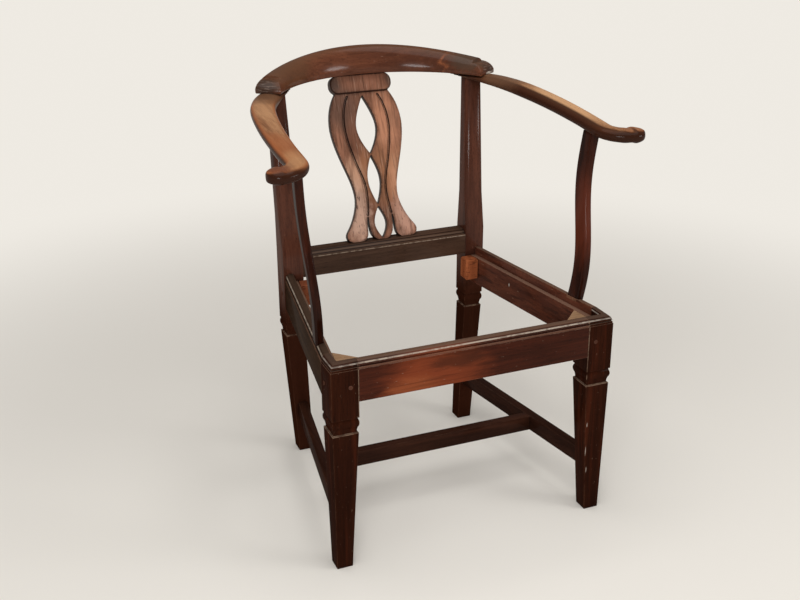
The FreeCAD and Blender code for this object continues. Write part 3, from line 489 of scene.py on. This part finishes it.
def polished(name, along, pale, deep, edge_wear_and_shading, layers=(), *, rub_and_shading, dirt_and_shade, gloss, streaks=0.6, coat=0.0,
             dull_below=0.0, shine=0.0, edge_mm=2.5, edge=(0.80, 0.52), hollow_mm=14.0,
             hollow=(0.72, 0.30), waves=0.5, dents=0.35, scratches=0.25):
    """Old polished wood. A layer is a colour and the place it lies, as layer_mask takes it.

    The edge and hollow shares say how much the edge colour (wear with a painted highlight, and
    painted shade on the splat) and the hollow colour (wax with painted shade) show, gloss is the
    roughness of the wood, coat the weight of the polish and shine the wood's own reflection.
    """
    material = bpy.data.materials.new(name)
    material.use_nodes = True
    tree = material.node_tree
    coords = add_node(tree, "TexCoord").outputs
    place, normal = coords["Object"], coords["Normal"]
    run = add_node(tree, "Mapping", {"Vector": place, "Rotation": along}).outputs[0]
    grain = add_node(tree, "Group", {"Along": run, "Pale": colour(pale), "Deep": colour(deep),
                                     "Streaks": streaks, "Pores": PORES}, node_tree=grain_tree)
    wood = grain.outputs["Color"]
    for tint, where in layers:
        wood = mixed(tree, layer_mask(tree, place, normal, **where), wood, colour(tint))
    # The edge mask carries wear with a painted highlight, and painted shade on the splat; the hollow mask
    # carries wax with painted shade.
    edges = occluded(tree, edge_mm, edge, inside=True, only_local=True)
    hollows = occluded(tree, hollow_mm, hollow)
    wear = add_node(tree, "Group", {"Place": place, "Wood": wood, "Edge": edges, "Hollow": hollows,
                                    "Edge Wear and Shading": colour(edge_wear_and_shading), "Rub and Shading": rub_and_shading, "Dirt and Shade": dirt_and_shade}, node_tree=wear_tree)
    dent = add_node(tree, "Group", {"Place": place, "Along": run, "Waves": waves, "Dents": dents,
                                    "Scratches": scratches}, node_tree=dent_tree)
    if dull_below:
        kept = ramped(tree, dotted(tree, place, UP), dull_below - DULL_FADE, dull_below + DULL_FADE)
        coat = maths(tree, "MULTIPLY", kept, coat)
    fine = maths(tree, "MULTIPLY", grain.outputs["Height"], FIBRE_RELIEF)
    bump = add_node(tree, "Bump", {"Height": maths(tree, "ADD", dent.outputs["Height"], fine),
                                   "Strength": BUMP_STRENGTH, "Distance": BUMP_DEPTH})
    join(tree, tree.nodes["Principled BSDF"],
         {"Base Color": wear.outputs["Color"], "Normal": bump.outputs["Normal"],
          "Roughness": maths(tree, "ADD", wear.outputs["Rough"], gloss),
          "Coat Weight": coat, "Coat Roughness": COAT_ROUGHNESS, "Specular IOR Level": shine})
    return material


print("finish function ready")

# %% [markdown]
# ## A copy to work on
# The pieces of the frame are loose triangles with hard edges. Each is copied, its triangles are
# merged, and the copy stands for the piece. Modelling the pieces again would risk their fit; a
# copy keeps every joint where it was cut.

# %% Copy of a piece
MERGE = 0.00001


def copied(node):
    """A merged copy of a frame piece, which stands for that piece."""
    bpy.ops.object.select_all(action="DESELECT")
    source = nodes[node]
    source.select_set(True)
    bpy.context.view_layer.objects.active = source
    bpy.ops.object.duplicate()
    piece = bpy.context.active_object
    piece.name = node + "_wood"
    piece.data.name = piece.name
    for key in [k for k in piece.keys() if k.startswith("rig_")]:
        del piece[key]
    piece.parent = None
    piece.data.materials.clear()
    bpy.ops.object.mode_set(mode="EDIT")
    bpy.ops.mesh.select_all(action="SELECT")
    bpy.ops.mesh.remove_doubles(threshold=MERGE)
    bpy.ops.mesh.customdata_custom_splitnormals_clear()
    bpy.ops.object.mode_set(mode="OBJECT")
    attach(piece, "root")
    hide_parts(node)
    return piece


print("pieces to copy:", sorted(nodes))

# %% [markdown]
# ## Soft arrises
# A cabinet-maker takes the sharp edge off every piece, and use rounds it further. On most pieces
# flat areas are cleaned to single faces and a Bevel modifier rounds the edges that turn by more
# than thirty degrees. On carved work, where edges meet in points, a bevel can overlap itself, so
# a fine voxel remesh and a few smoothing passes round everything alike, as sandpaper does.

# %% Bevel and carve
SHARP = math.radians(30)
SMOOTH_UP_TO = math.radians(40)
FLAT_WITHIN = math.radians(0.6)


def applied(piece, kind, **settings):
    """Add a modifier, set it up and apply it."""
    made = piece.modifiers.new(kind.lower(), kind)
    for key, value in settings.items():
        setattr(made, key, value)
    bpy.ops.object.modifier_apply(modifier=made.name)


def dressed(piece, material):
    """Put the finish on a piece."""
    piece.data.materials.append(material)
    print(piece.name, len(piece.data.polygons), "faces")


def finished(node, material, arris_mm, steps=2, flat=True):
    """A piece with its arrises rounded and its finish on."""
    piece = copied(node)
    if flat:
        bpy.ops.object.mode_set(mode="EDIT")
        bpy.ops.mesh.dissolve_limited(angle_limit=FLAT_WITHIN)
        bpy.ops.object.mode_set(mode="OBJECT")
    applied(piece, "BEVEL", width=arris_mm / 1000, segments=steps, limit_method="ANGLE", angle_limit=SHARP,
            use_clamp_overlap=False)
    bpy.ops.object.shade_smooth_by_angle(angle=SMOOTH_UP_TO)
    dressed(piece, material)


def carved(node, material, voxel_mm, passes, share):
    """A piece rounded all over, with its finish on."""
    piece = copied(node)
    applied(piece, "REMESH", mode="VOXEL", voxel_size=voxel_mm / 1000)
    applied(piece, "SMOOTH", factor=0.5, iterations=passes)
    applied(piece, "DECIMATE", ratio=share)
    bpy.ops.object.shade_smooth()
    dressed(piece, material)


print("bevel and carve ready")

# %% [markdown]
# ## Front legs
# The legs are the darkest wood on the chair, nearly black where the polish is thick. A pale line
# runs round each neck, where the cloth catches the sharp edge under the collar, and the right
# leg has been kicked on its inner arris. Where the rail's moulding runs on over the top of each
# leg, a pale line on the roll is its wear and a painted highlight. The wear of all edges would
# pale every arris alike, so these few lines and knocks are placed at their own levels.

# %% Legs
NECK = 0.2875         # sharp edge under the collar
ROLL = 0.4262         # middle of the moulding's roll
LEG_JOINT = 0.2373    # front rail's joint with a leg, from the middle of the chair
KICKS = (((0.2467, -0.3156, 0.1998), 0.008), ((0.2475, -0.3149, 0.1395), 0.014),
         ((0.2520, -0.3144, 0.0949), 0.009))
RED_STREAK, PALE_SPECK, DUSTY_TOP = (0.072, 0.0150, 0.0060), (0.26, 0.17, 0.12), (0.100, 0.062, 0.044)
WORN, CORNER_WEAR_AND_HIGHLIGHT, KICKED = (0.34, 0.23, 0.16), (0.45, 0.38, 0.32), (0.50, 0.42, 0.36)

leg_layers = [
    (RED_STREAK, dict(specks=((70, 70, 3), 0.50, 0.72), strength=0.45)),
    (PALE_SPECK, dict(specks=((380, 380, 110), 0.70, 0.74), strength=0.6)),
    (WORN, dict(line=(UP, NECK, 0.0010), breaks=0.7, strength=0.7)),
    # Wear and a painted highlight on the roll of the moulding, where it runs over the top of the leg.
    (CORNER_WEAR_AND_HIGHLIGHT, dict(line=(UP, ROLL, 0.0013), facing=(UP, 0.9, 0.3), breaks=0.5, strength=0.8)),
    (DUSTY_TOP, dict(facing=(UP, 0.7, 0.95), strength=0.7)),
] + [
    (WORN, dict(line=(TO_RIGHT, x, 0.0007), facing=(FRONT, 0.6, 0.9), breaks=0.6, strength=0.55))
    for x in (-LEG_JOINT, LEG_JOINT)
] + [
    (KICKED, dict(spot=(middle, (0.0012, 0.012, tall)), fray=0.9, grain=420.0, strength=0.75))
    for middle, tall in KICKS
]
leg_wood = polished("leg_mahogany", ALONG_Z, (0.036, 0.0095, 0.0042), (0.012, 0.0035, 0.0018),
                    (0.20, 0.100, 0.058), leg_layers, rub_and_shading=0.6, dirt_and_shade=0.5, gloss=0.40, coat=0.035)
for side in ("left", "right"):
    finished("front_leg_" + side, leg_wood, 0.9)

# %% [markdown]
# ## Front rail
# The front rail has kept its orange red in the middle and gone dark at the ends. The roll of the
# moulding is rubbed to a whitish line, with a painted highlight along it, and the ledge inside the
# lip was never polished. The red could be a second material, but it has no clear edge, so it is a
# frayed spot that the noise draws out along the grain.

# %% Front rail
BAND, SHELF, RAIL_TOP = 0.4175, 0.413, 0.432      # levels of the moulding's band, the ledge and the lip
# The second colour is wear and a painted highlight on the roll.
BAND_BROWN, ROLL_WEAR_AND_HIGHLIGHT = (0.15, 0.072, 0.046), (0.50, 0.41, 0.33)
ORANGE_RED, BRIGHT_RED, DARK_CLOUD = (0.200, 0.042, 0.0150), (0.270, 0.072, 0.0260), (0.040, 0.012, 0.0060)
DARK_STREAK, RAIL_SCRATCH = (0.030, 0.0085, 0.0042), (0.30, 0.21, 0.15)
LEDGE = ((0.21, 0.120, 0.082), dict(line=(UP, SHELF, 0.0012), facing=(UP, 0.6, 0.9), strength=0.75))
TOP = ((0.135, 0.078, 0.052), dict(line=(UP, RAIL_TOP, 0.0030), facing=(UP, 0.6, 0.95), strength=0.8))


def moulding_layers(outward):
    """The worn roll with its painted highlight, and the paler band under the groove, on a rail's outer face.
    """
    return [(BAND_BROWN, dict(line=(UP, BAND, 0.0017), facing=(outward, 0.3, 0.7), strength=0.7)),
            # The roll: worn pale, with a painted highlight along it.
            (ROLL_WEAR_AND_HIGHLIGHT, dict(line=(UP, ROLL, 0.0012), facing=(outward, 0.2, 0.6), soft=0.0010,
                               breaks=0.45, strength=0.8))]


front_layers = [
    (ORANGE_RED, dict(spot=((-0.085, -0.318, 0.378), (0.140, 0.2, 0.085)), strength=0.9, fray=0.9,
                      grain=9.0, stretch=(1.0, 1.0, 5.0))),
    (BRIGHT_RED, dict(spot=((-0.130, -0.318, 0.356), (0.075, 0.2, 0.034)), strength=0.65, fray=1.0,
                      grain=18.0, stretch=(1.0, 1.0, 5.0))),
    (DARK_CLOUD, dict(spot=((-0.04, -0.318, 0.398), (0.09, 0.2, 0.022)), strength=0.7, fray=1.2,
                      grain=22.0, stretch=(1.0, 1.0, 4.0))),
    (DARK_STREAK, dict(specks=((6, 110, 130), 0.50, 0.68), strength=0.4)),
    (RAIL_SCRATCH, dict(specks=((90, 420, 420), 0.70, 0.74), strength=0.5)),
] + moulding_layers(FRONT) + [TOP, LEDGE]
front_rail_wood = polished("front_rail_mahogany", ALONG_X, (0.066, 0.0150, 0.0070), (0.024, 0.0065, 0.0034),
                           (0.30, 0.20, 0.145), front_layers, rub_and_shading=0.7, dirt_and_shade=0.55, gloss=0.38, coat=0.12)
finished("front_seat_rail", front_rail_wood, 0.8)

# %% [markdown]
# ## Back and side rails
# These are duller than the front rail, and the right one is redder than the left. Fine reeds run
# along the top of the back rail. They are shallow and seen from a distance, so their light and
# shade is painted: paler lines at their levels are painted highlights on a reed and on the back
# arris, and dark lines are painted shade in the quirks between the reeds.

# %% Back and side rails
REED, LOW_QUIRK, HIGH_QUIRK, BACK_ARRIS = 0.4678, 0.4652, 0.4706, 0.4612
# Painted highlight on a reed, painted shade in the quirks, painted highlight on the back arris.
REED_HIGHLIGHT, QUIRK_SHADE, BACK_ARRIS_HIGHLIGHT = (0.130, 0.085, 0.060), (0.007, 0.0045, 0.0035), (0.300, 0.220, 0.160)
RIGHT_STREAK, RIGHT_SCRATCH, RIGHT_CHIP = (0.026, 0.0090, 0.0055), (0.30, 0.20, 0.14), (0.66, 0.60, 0.54)
DARK_TOP = ((0.060, 0.036, 0.024), TOP[1])

back_layers = [
    LEDGE,
    # Painted highlight on a reed, painted shade in the two quirks, and a painted highlight along the back
    # arris, broken up by noise.
    (REED_HIGHLIGHT, dict(line=(UP, REED, 0.0010), strength=0.55)),
    (QUIRK_SHADE, dict(line=(UP, LOW_QUIRK, 0.0007), strength=0.85)),
    (QUIRK_SHADE, dict(line=(UP, HIGH_QUIRK, 0.0006), strength=0.85)),
    (BACK_ARRIS_HIGHLIGHT, dict(line=(UP, BACK_ARRIS, 0.0009), breaks=0.75, strength=0.8)),
]
right_layers = [
    (RIGHT_STREAK, dict(specks=((110, 5, 120), 0.50, 0.68), strength=0.65)),
    (RIGHT_SCRATCH, dict(specks=((420, 60, 420), 0.70, 0.74), strength=0.5)),
    (RIGHT_CHIP, dict(spot=((0.2246, -0.0079, 0.3907), (0.01, 0.0022, 0.006)), fray=0.8, grain=300.0,
                      strength=0.7)),
] + moulding_layers(TO_RIGHT) + [TOP, LEDGE]
back_rail_wood = polished("back_rail_mahogany", ALONG_X, (0.095, 0.050, 0.032), (0.042, 0.022, 0.014),
                          (0.26, 0.18, 0.12), back_layers, rub_and_shading=0.5, dirt_and_shade=0.55, gloss=0.48, coat=0.10)
left_rail_wood = polished("left_rail_mahogany", ALONG_Y, (0.050, 0.025, 0.013), (0.020, 0.010, 0.0055),
                          (0.26, 0.15, 0.09), moulding_layers(TO_LEFT) + [DARK_TOP, LEDGE], rub_and_shading=0.5,
                          dirt_and_shade=0.5, gloss=0.46, coat=0.06)
right_rail_wood = polished("right_rail_mahogany", ALONG_Y, (0.140, 0.042, 0.022), (0.050, 0.015, 0.009),
                           (0.30, 0.17, 0.10), right_layers, rub_and_shading=0.6, dirt_and_shade=0.5, gloss=0.46, coat=0.10)
finished("back_rail", back_rail_wood, 0.8)
finished("side_seat_rail_left", left_rail_wood, 0.8)
finished("side_seat_rail_right", right_rail_wood, 0.8)

# %% [markdown]
# ## Back posts and arm supports
# Both are dark red-brown and well polished, so they carry long soft highlights. The feet of the
# posts are dark like the front legs, and the darkening towards the floor is partly painted shade,
# since less light reaches low down. A second material on the lower faces would show a seam, so
# one very wide and soft line, drawn up from the floor, fades the colour instead.

# %% Posts and supports
POST_SCRATCH, POST_FOOT, SUPPORT_RED = (0.30, 0.19, 0.14), (0.026, 0.0075, 0.0036), (0.16, 0.036, 0.018)
post_layers = [
    (POST_SCRATCH, dict(specks=((330, 330, 90), 0.70, 0.74), strength=0.5)),
    # Darker towards the floor: the feet's own dark colour, and partly painted shade low down.
    (POST_FOOT, dict(line=(UP, 0.0, 0.36), soft=0.05, strength=0.85)),
    (WORN, dict(line=(UP, NECK, 0.0010), breaks=0.8, strength=0.5)),
]
support_layers = [
    (SUPPORT_RED, dict(spot=((0.281, -0.205, 0.60), (0.03, 0.05, 0.14)), strength=0.55, fray=0.9,
                       grain=40.0, stretch=(1.0, 1.0, 0.15))),
]
post_wood = polished("post_mahogany", ALONG_Z, (0.112, 0.038, 0.022), (0.042, 0.014, 0.0085),
                     (0.25, 0.12, 0.07), post_layers, rub_and_shading=0.45, dirt_and_shade=0.55, gloss=0.34, coat=0.22,
                     dull_below=0.38)
support_wood = polished("support_mahogany", ALONG_Z, (0.050, 0.0115, 0.0052), (0.015, 0.0040, 0.0020),
                        (0.25, 0.11, 0.06), support_layers, streaks=0.9, rub_and_shading=0.45, dirt_and_shade=0.5, gloss=0.32,
                        coat=0.18)
for side in ("left", "right"):
    finished("back_post_" + side, post_wood, 0.9)
    finished("arm_support_" + side, support_wood, 0.9, flat=False)

# %% [markdown]
# ## Stretchers
# Low down and kicked for generations: dull, dark and scratched. The side stretchers run from
# front to back and the cross stretcher from side to side, so the wood is made twice, with the
# grain turned and the cross piece a little lighter.

# %% Stretchers
KICKED_WOOD = dict(rub_and_shading=0.6, dirt_and_shade=0.5, gloss=0.48, coat=0.07, scratches=0.5)
SCUFFED = (0.18, 0.105, 0.07)
stretcher_wood = polished("stretcher_mahogany", ALONG_Y, (0.042, 0.0150, 0.0085), (0.016, 0.006, 0.0038),
                          SCUFFED, **KICKED_WOOD)
cross_wood = polished("cross_mahogany", ALONG_X, (0.052, 0.0185, 0.0105), (0.021, 0.0078, 0.0048),
                      SCUFFED, **KICKED_WOOD)
finished("cross_stretcher", cross_wood, 1.2)
for side in ("left", "right"):
    finished("side_stretcher_" + side, stretcher_wood, 1.2)

# %% [markdown]
# ## The arms
# Sleeves have worn the tops of the arms to a pale honey colour. The sides, the undersides and
# the fronts of the hooked ends are darker wood, and their darkness is also painted shade: the
# colour turns orange and then near black as the surface faces away from the top, and the inner
# side of the right arm and the parts under the crest are darkened too. The hooks' tops have stayed
# redder. The arms curve every way at once, so they are rounded as carved work, and their colours
# follow the way the surface faces.

# %% Arms
HONEY, PALE_HONEY, ORANGE = (0.52, 0.265, 0.122), (0.66, 0.370, 0.185), (0.34, 0.105, 0.036)
# The second colour is darker wood with painted shade on sides, undersides, hook fronts and under the crest;
# the third is painted shade.
UMBER, DARK_WOOD_AND_SHADE, INNER_SHADE = (0.125, 0.060, 0.032), (0.032, 0.0105, 0.0052), (0.040, 0.012, 0.0055)
LEFT_HOOK, RIGHT_HOOK = (0.160, 0.052, 0.026), (0.300, 0.120, 0.055)
ARM_STREAK, ARM_SPECK = (0.150, 0.058, 0.026), (0.060, 0.022, 0.011)
arm_layers = [
    (ARM_STREAK, dict(specks=((170, 7, 170), 0.52, 0.70), strength=0.55)),
    (HONEY, dict(spot=((-0.305, -0.225, 0.785), (0.055, 0.075, 0.05)), strength=0.55, fray=0.7, grain=22.0)),
    (PALE_HONEY, dict(spot=((0.30, -0.09, 0.80), (0.09, 0.18, 0.06)), strength=0.8, fray=0.8, grain=16.0,
                      stretch=(5.0, 1.0, 5.0))),
    (PALE_HONEY, dict(spot=((-0.285, 0.055, 0.807), (0.06, 0.10, 0.05)), strength=0.25, fray=0.8, grain=16.0,
                      stretch=(5.0, 1.0, 5.0))),
    (ORANGE, dict(spot=((-0.312, -0.140, 0.795), (0.06, 0.090, 0.05)), strength=0.6, fray=0.8, grain=18.0)),
    (LEFT_HOOK, dict(spot=((-0.352, -0.250, 0.775), (0.045, 0.050, 0.04)), strength=0.9, fray=0.8,
                     grain=30.0)),
    (RIGHT_HOOK, dict(spot=((0.352, -0.250, 0.775), (0.045, 0.050, 0.04)), strength=0.7, fray=0.8,
                      grain=30.0)),
    # Painted shade: the arm turns orange as its surface leans away from the top.
    (ORANGE, dict(facing=(UP, 0.99, 0.74), strength=0.75)),
    # Painted shade over darker unworn wood: near black on the sides and undersides.
    (DARK_WOOD_AND_SHADE, dict(facing=(UP, 0.84, 0.20), strength=0.95)),
    # Painted shade on the right arm's inner side.
    (INNER_SHADE, dict(spot=((0.32, -0.03, 0.79), (0.25, 0.50, 0.25)), fray=0.1, strength=0.95,
                      facing=((-0.8, -0.5, 0.3), 0.41, 0.60))),
    (UMBER, dict(spot=((-0.250, 0.152, 0.812), (0.065, 0.085, 0.05)), strength=0.9, fray=0.5, grain=25.0)),
    (UMBER, dict(spot=((0.262, 0.125, 0.812), (0.065, 0.090, 0.05)), strength=0.8, fray=0.5, grain=25.0)),
] + [
    # Painted shade on the fronts of the hooked ends.
    (DARK_WOOD_AND_SHADE, dict(spot=((x, -0.275, 0.768), (0.085, 0.080, 0.07)), fray=0.2, strength=0.95,
               facing=((0, -0.95, -0.2), 0.02, 0.45))) for x in (-0.345, 0.345)
] + [
    # Painted shade on the arms under the ends of the crest.
    (DARK_WOOD_AND_SHADE, dict(spot=((x, 0.205, 0.80), (0.090, 0.085, 0.06)), strength=0.95, fray=0.3))
    for x in (-0.195, 0.195)
] + [
    (ARM_SPECK, dict(specks=((260, 120, 260), 0.70, 0.74), strength=0.7)),
]
arm_wood = polished("arm_mahogany", ALONG_Y, (0.48, 0.245, 0.116), (0.23, 0.094, 0.040),
                    (0.46, 0.27, 0.16), arm_layers, streaks=0.8, rub_and_shading=0.2, dirt_and_shade=0.6, gloss=0.36, coat=0.16,
                    shine=0.01)
for side in ("left", "right"):
    carved("arm_" + side, arm_wood, 1.5, 5, 0.5)

# %% [markdown]
# ## The crest
# The crest is browner and waxy, with a dusty top. An old break to the right of the middle was
# glued and filled in a speckled orange line; beyond it the wax is dull and scratched, and the
# stepped ends are dark with gouge marks. The break runs in a zigzag, so it is three straight
# lines, each in the plane of its own bit of surface, and needs no cut in the mesh.

# %% Crest
CREST_FILL, GOUGED, GOUGE_MARK = (0.27, 0.085, 0.034), (0.040, 0.026, 0.019), (0.170, 0.120, 0.095)
CREST_STREAK, CREST_SCRATCH, TIP_HIGHLIGHT = (0.060, 0.020, 0.0100), (0.330, 0.210, 0.150), (0.66, 0.58, 0.50)
DUSTY_CREST, LEFT_BROWN, DULL_WAX = (0.120, 0.054, 0.028), (0.112, 0.050, 0.024), (0.070, 0.044, 0.029)
BREAK = [(0.1742, 0.2216, 0.8502), (0.1572, 0.2203, 0.8345), (0.1705, 0.2077, 0.8272),
         (0.1633, 0.2122, 0.8140)]
BREAK_NORMALS = [(-0.4, -0.62, 0.6), (-0.55, -0.78, 0.3), (-0.6, -0.78, 0.15)]


def crack(start, end, normal, half):
    """Line and spot of a crack between two points of a surface that faces along the normal."""
    run = Vector(end) - Vector(start)
    across = run.cross(Vector(normal)).normalized()
    middle = (Vector(start) + Vector(end)) / 2
    return dict(line=(across, across.dot(Vector(start)), half), spot=(middle, [run.length * 0.95] * 3))


crest_layers = [
    (CREST_STREAK, dict(specks=((7, 120, 120), 0.52, 0.68), strength=0.5)),
    (CREST_SCRATCH, dict(specks=((60, 420, 420), 0.70, 0.735), strength=0.45)),
    (DUSTY_CREST, dict(facing=(UP, 0.35, 0.95), strength=0.6)),
    (LEFT_BROWN, dict(spot=((-0.19, 0.225, 0.85), (0.11, 0.12, 0.06)), strength=0.65, fray=0.8,
                      grain=20.0)),
    (DULL_WAX, dict(spot=((0.205, 0.185, 0.838), (0.050, 0.05, 0.035)), strength=0.75, fray=1.1,
                    grain=90.0, stretch=(0.3, 1.0, 1.0))),
    (GOUGED, dict(spot=((-0.252, 0.160, 0.826), (0.042, 0.045, 0.034)), strength=0.85, fray=0.9, grain=110.0,
                  stretch=(0.4, 1.0, 1.0))),
    (GOUGED, dict(spot=((0.256, 0.152, 0.830), (0.036, 0.040, 0.032)), strength=0.85, fray=0.9, grain=110.0,
                  stretch=(0.4, 1.0, 1.0))),
] + [
    (CREST_FILL, dict(crack(start, end, normal, 0.0026), fray=1.4, grain=420.0, soft=0.0022, breaks=0.9,
                      strength=0.7)) for start, end, normal in zip(BREAK, BREAK[1:], BREAK_NORMALS)
] + [
    (GOUGE_MARK, dict(spot=((x, 0.158, 0.828), (0.040, 0.045, 0.034)), fray=0.3,
                      specks=((60, 60, 520), 0.56, 0.64), strength=0.8)) for x in (-0.252, 0.256)
] + [
    # A painted highlight on the lower edge of the right tip.
    (TIP_HIGHLIGHT, dict(spot=((0.2480, 0.1630, 0.8150), (0.014, 0.014, 0.0040)), fray=0.7, grain=160.0)),
]
crest_wood = polished("crest_mahogany", ALONG_X, (0.165, 0.054, 0.026), (0.075, 0.024, 0.0125),
                      (0.28, 0.15, 0.09), crest_layers, rub_and_shading=0.4, dirt_and_shade=0.6, gloss=0.30, coat=0.32)
finished("crest_rail", crest_wood, 0.9, flat=False)

# %% [markdown]
# ## The splat
# A pierced and carved board, lighter than the posts. The walls of the piercings, the grooves and
# the edges of the straps are darkened, and that is painted shade, standing in for the shade of the
# rounded straps and the deep piercings; so the colour for the edges is dark here. The cap has a
# crack and darkened ends, the straps grow paler downwards and the feet are scuffed pink. The board
# leans, and grain that ran straight up would cut through its face as dots, so the grain leans with
# it.

# %% Splat
FACE = (0.0, -0.92, 0.38)      # the front of the leaning board looks this way
SPLAT_LEAN = math.radians(22.4)
ALONG_SPLAT = (SPLAT_LEAN, math.radians(90), 0.0)
STRAP_FIGURE = (3.0, 1.0, 1.0)
SHADED_STRAP, WARM_STRAP, TAWNY = (0.125, 0.070, 0.052), (0.520, 0.235, 0.135), (0.370, 0.160, 0.078)
# The last colour on this line is painted shade for the walls of the piercings.
PALE_LEFT, PALE_RIGHT, WALL_SHADE = (0.600, 0.340, 0.220), (0.560, 0.280, 0.165), (0.030, 0.012, 0.0075)
LEFT_FOOT, RIGHT_FOOT, SCUFF = (0.570, 0.355, 0.262), (0.520, 0.290, 0.210), (0.040, 0.022, 0.018)
CAP, CAP_END, CAP_CRACK = (0.330, 0.140, 0.085), (0.090, 0.060, 0.048), (0.030, 0.014, 0.010)
CLOUD, SPLAT_STREAK, SPLAT_FIBRE = (0.095, 0.052, 0.036), (0.095, 0.042, 0.026), (0.460, 0.300, 0.215)
splat_layers = [
    (SHADED_STRAP, dict(spot=((-0.055, 0.27, 0.745), (0.06, 0.09, 0.075)), strength=0.7, fray=0.8,
                        grain=22.0, stretch=STRAP_FIGURE)),
    (WARM_STRAP, dict(spot=((0.045, 0.26, 0.705), (0.042, 0.10, 0.10)), strength=0.85, fray=0.8,
                      grain=30.0, stretch=STRAP_FIGURE)),
    (TAWNY, dict(spot=((0.02, 0.215, 0.600), (0.09, 0.08, 0.095)), strength=0.75, fray=0.8,
                 grain=22.0, stretch=STRAP_FIGURE)),
    (PALE_LEFT, dict(spot=((-0.045, 0.205, 0.590), (0.035, 0.08, 0.080)), strength=0.8, fray=0.8,
                     grain=40.0, stretch=STRAP_FIGURE)),
    (PALE_RIGHT, dict(spot=((0.058, 0.205, 0.590), (0.035, 0.08, 0.080)), strength=0.7, fray=0.8,
                      grain=40.0, stretch=STRAP_FIGURE)),
    (LEFT_FOOT, dict(spot=((-0.050, 0.180, 0.530), (0.042, 0.08, 0.095)), strength=0.9, fray=0.9,
                     grain=60.0)),
    (RIGHT_FOOT, dict(spot=((0.058, 0.174, 0.515), (0.040, 0.08, 0.065)), strength=0.85, fray=0.9,
                      grain=60.0)),
    (CAP, dict(spot=((0.005, 0.285, 0.795), (0.075, 0.06, 0.030)), strength=0.85, fray=0.6, grain=26.0)),
    (CAP_END, dict(spot=((-0.070, 0.285, 0.795), (0.030, 0.06, 0.036)), strength=0.85, fray=0.9, grain=40.0)),
    (CAP_END, dict(spot=((0.073, 0.285, 0.795), (0.024, 0.06, 0.036)), strength=0.8, fray=0.9, grain=40.0)),
    (CAP_CRACK, dict(spot=((0.005, 0.285, 0.795), (0.02, 0.06, 0.030)), fray=0.2,
                     line=(TO_RIGHT, 0.0047, 0.0006), soft=0.0004, breaks=0.5)),
    (CLOUD, dict(specks=((34, 9, 15), 0.50, 0.68), strength=0.3)),
    (SPLAT_STREAK, dict(specks=((230, 8, 14), 0.50, 0.68), strength=0.5)),
    (SPLAT_FIBRE, dict(specks=((420, 20, 22), 0.60, 0.70), strength=0.45)),
] + [
    (SCUFF, dict(spot=((x, 0.18, 0.530), (0.045, 0.09, 0.095)), fray=0.3,
                 specks=((330, 40, 90), 0.60, 0.66), strength=0.75)) for x in (-0.05, 0.058)
] + [
    # Painted shade: the walls of the piercings, which face away from the board's front, are darkened.
    (WALL_SHADE, dict(facing=(FACE, 0.975, 0.70), strength=0.95)),
]
# The dark edge colour and the strong hollow darkening here are painted shade on the rounded straps and in the
# grooves.
splat_wood = polished("splat_mahogany", ALONG_SPLAT, (0.360, 0.162, 0.098), (0.140, 0.057, 0.034),
                      (0.058, 0.025, 0.015), splat_layers, rub_and_shading=0.85, dirt_and_shade=1.0, gloss=0.38, coat=0.20,
                      shine=0.02, edge_mm=7.0, edge=(0.98, 0.66), hollow=(0.93, 0.58), hollow_mm=7.0)
carved("splat", splat_wood, 1.0, 5, 0.4)

# %% [markdown]
# ## Blocks and pegs
# The blocks that strengthen the corners were never meant to be seen: plain wood, hewn or sawn and
# left bare, so they get no polish, and the hewn ones a coarse chamfer and deep waves and dents.
# The pegs show end grain, dark from old polish.

# %% Blocks and pegs
HEWN_STREAK, HEWN_SHADE = (0.085, 0.026, 0.012), (0.110, 0.034, 0.020)
rear_block_layers = [
    (HEWN_STREAK, dict(specks=((90, 90, 260), 0.54, 0.64), strength=0.6)),
    (HEWN_SHADE, dict(spot=((-0.2, 0.15, 0.38), (0.18, 0.3, 0.3)), strength=0.6, fray=0.1)),
]
rear_block_wood = polished("rear_block_wood", ALONG_Z, (0.44, 0.130, 0.050), (0.22, 0.060, 0.023),
                           (0.45, 0.25, 0.14), rear_block_layers, rub_and_shading=0.5, dirt_and_shade=0.7, gloss=0.62, waves=1.4,
                           dents=1.0)
corner_block_wood = polished("corner_block_wood", ALONG_X, (0.44, 0.27, 0.155), (0.28, 0.155, 0.080),
                             (0.55, 0.38, 0.25), rub_and_shading=0.4, dirt_and_shade=0.5, gloss=0.62)
peg_wood = polished("peg_end_grain", ALONG_X, (0.100, 0.042, 0.028), (0.050, 0.020, 0.013),
                    (0.15, 0.075, 0.050), rub_and_shading=0.6, dirt_and_shade=0.5, gloss=0.40)
for side in ("left", "right"):
    finished("rear_seat_block_" + side, rear_block_wood, 2.4, 1)
    finished("front_corner_block_" + side, corner_block_wood, 1.0)
for node in ("front_rail_pegs", "side_rail_pegs"):
    finished(node, peg_wood, 0.4)
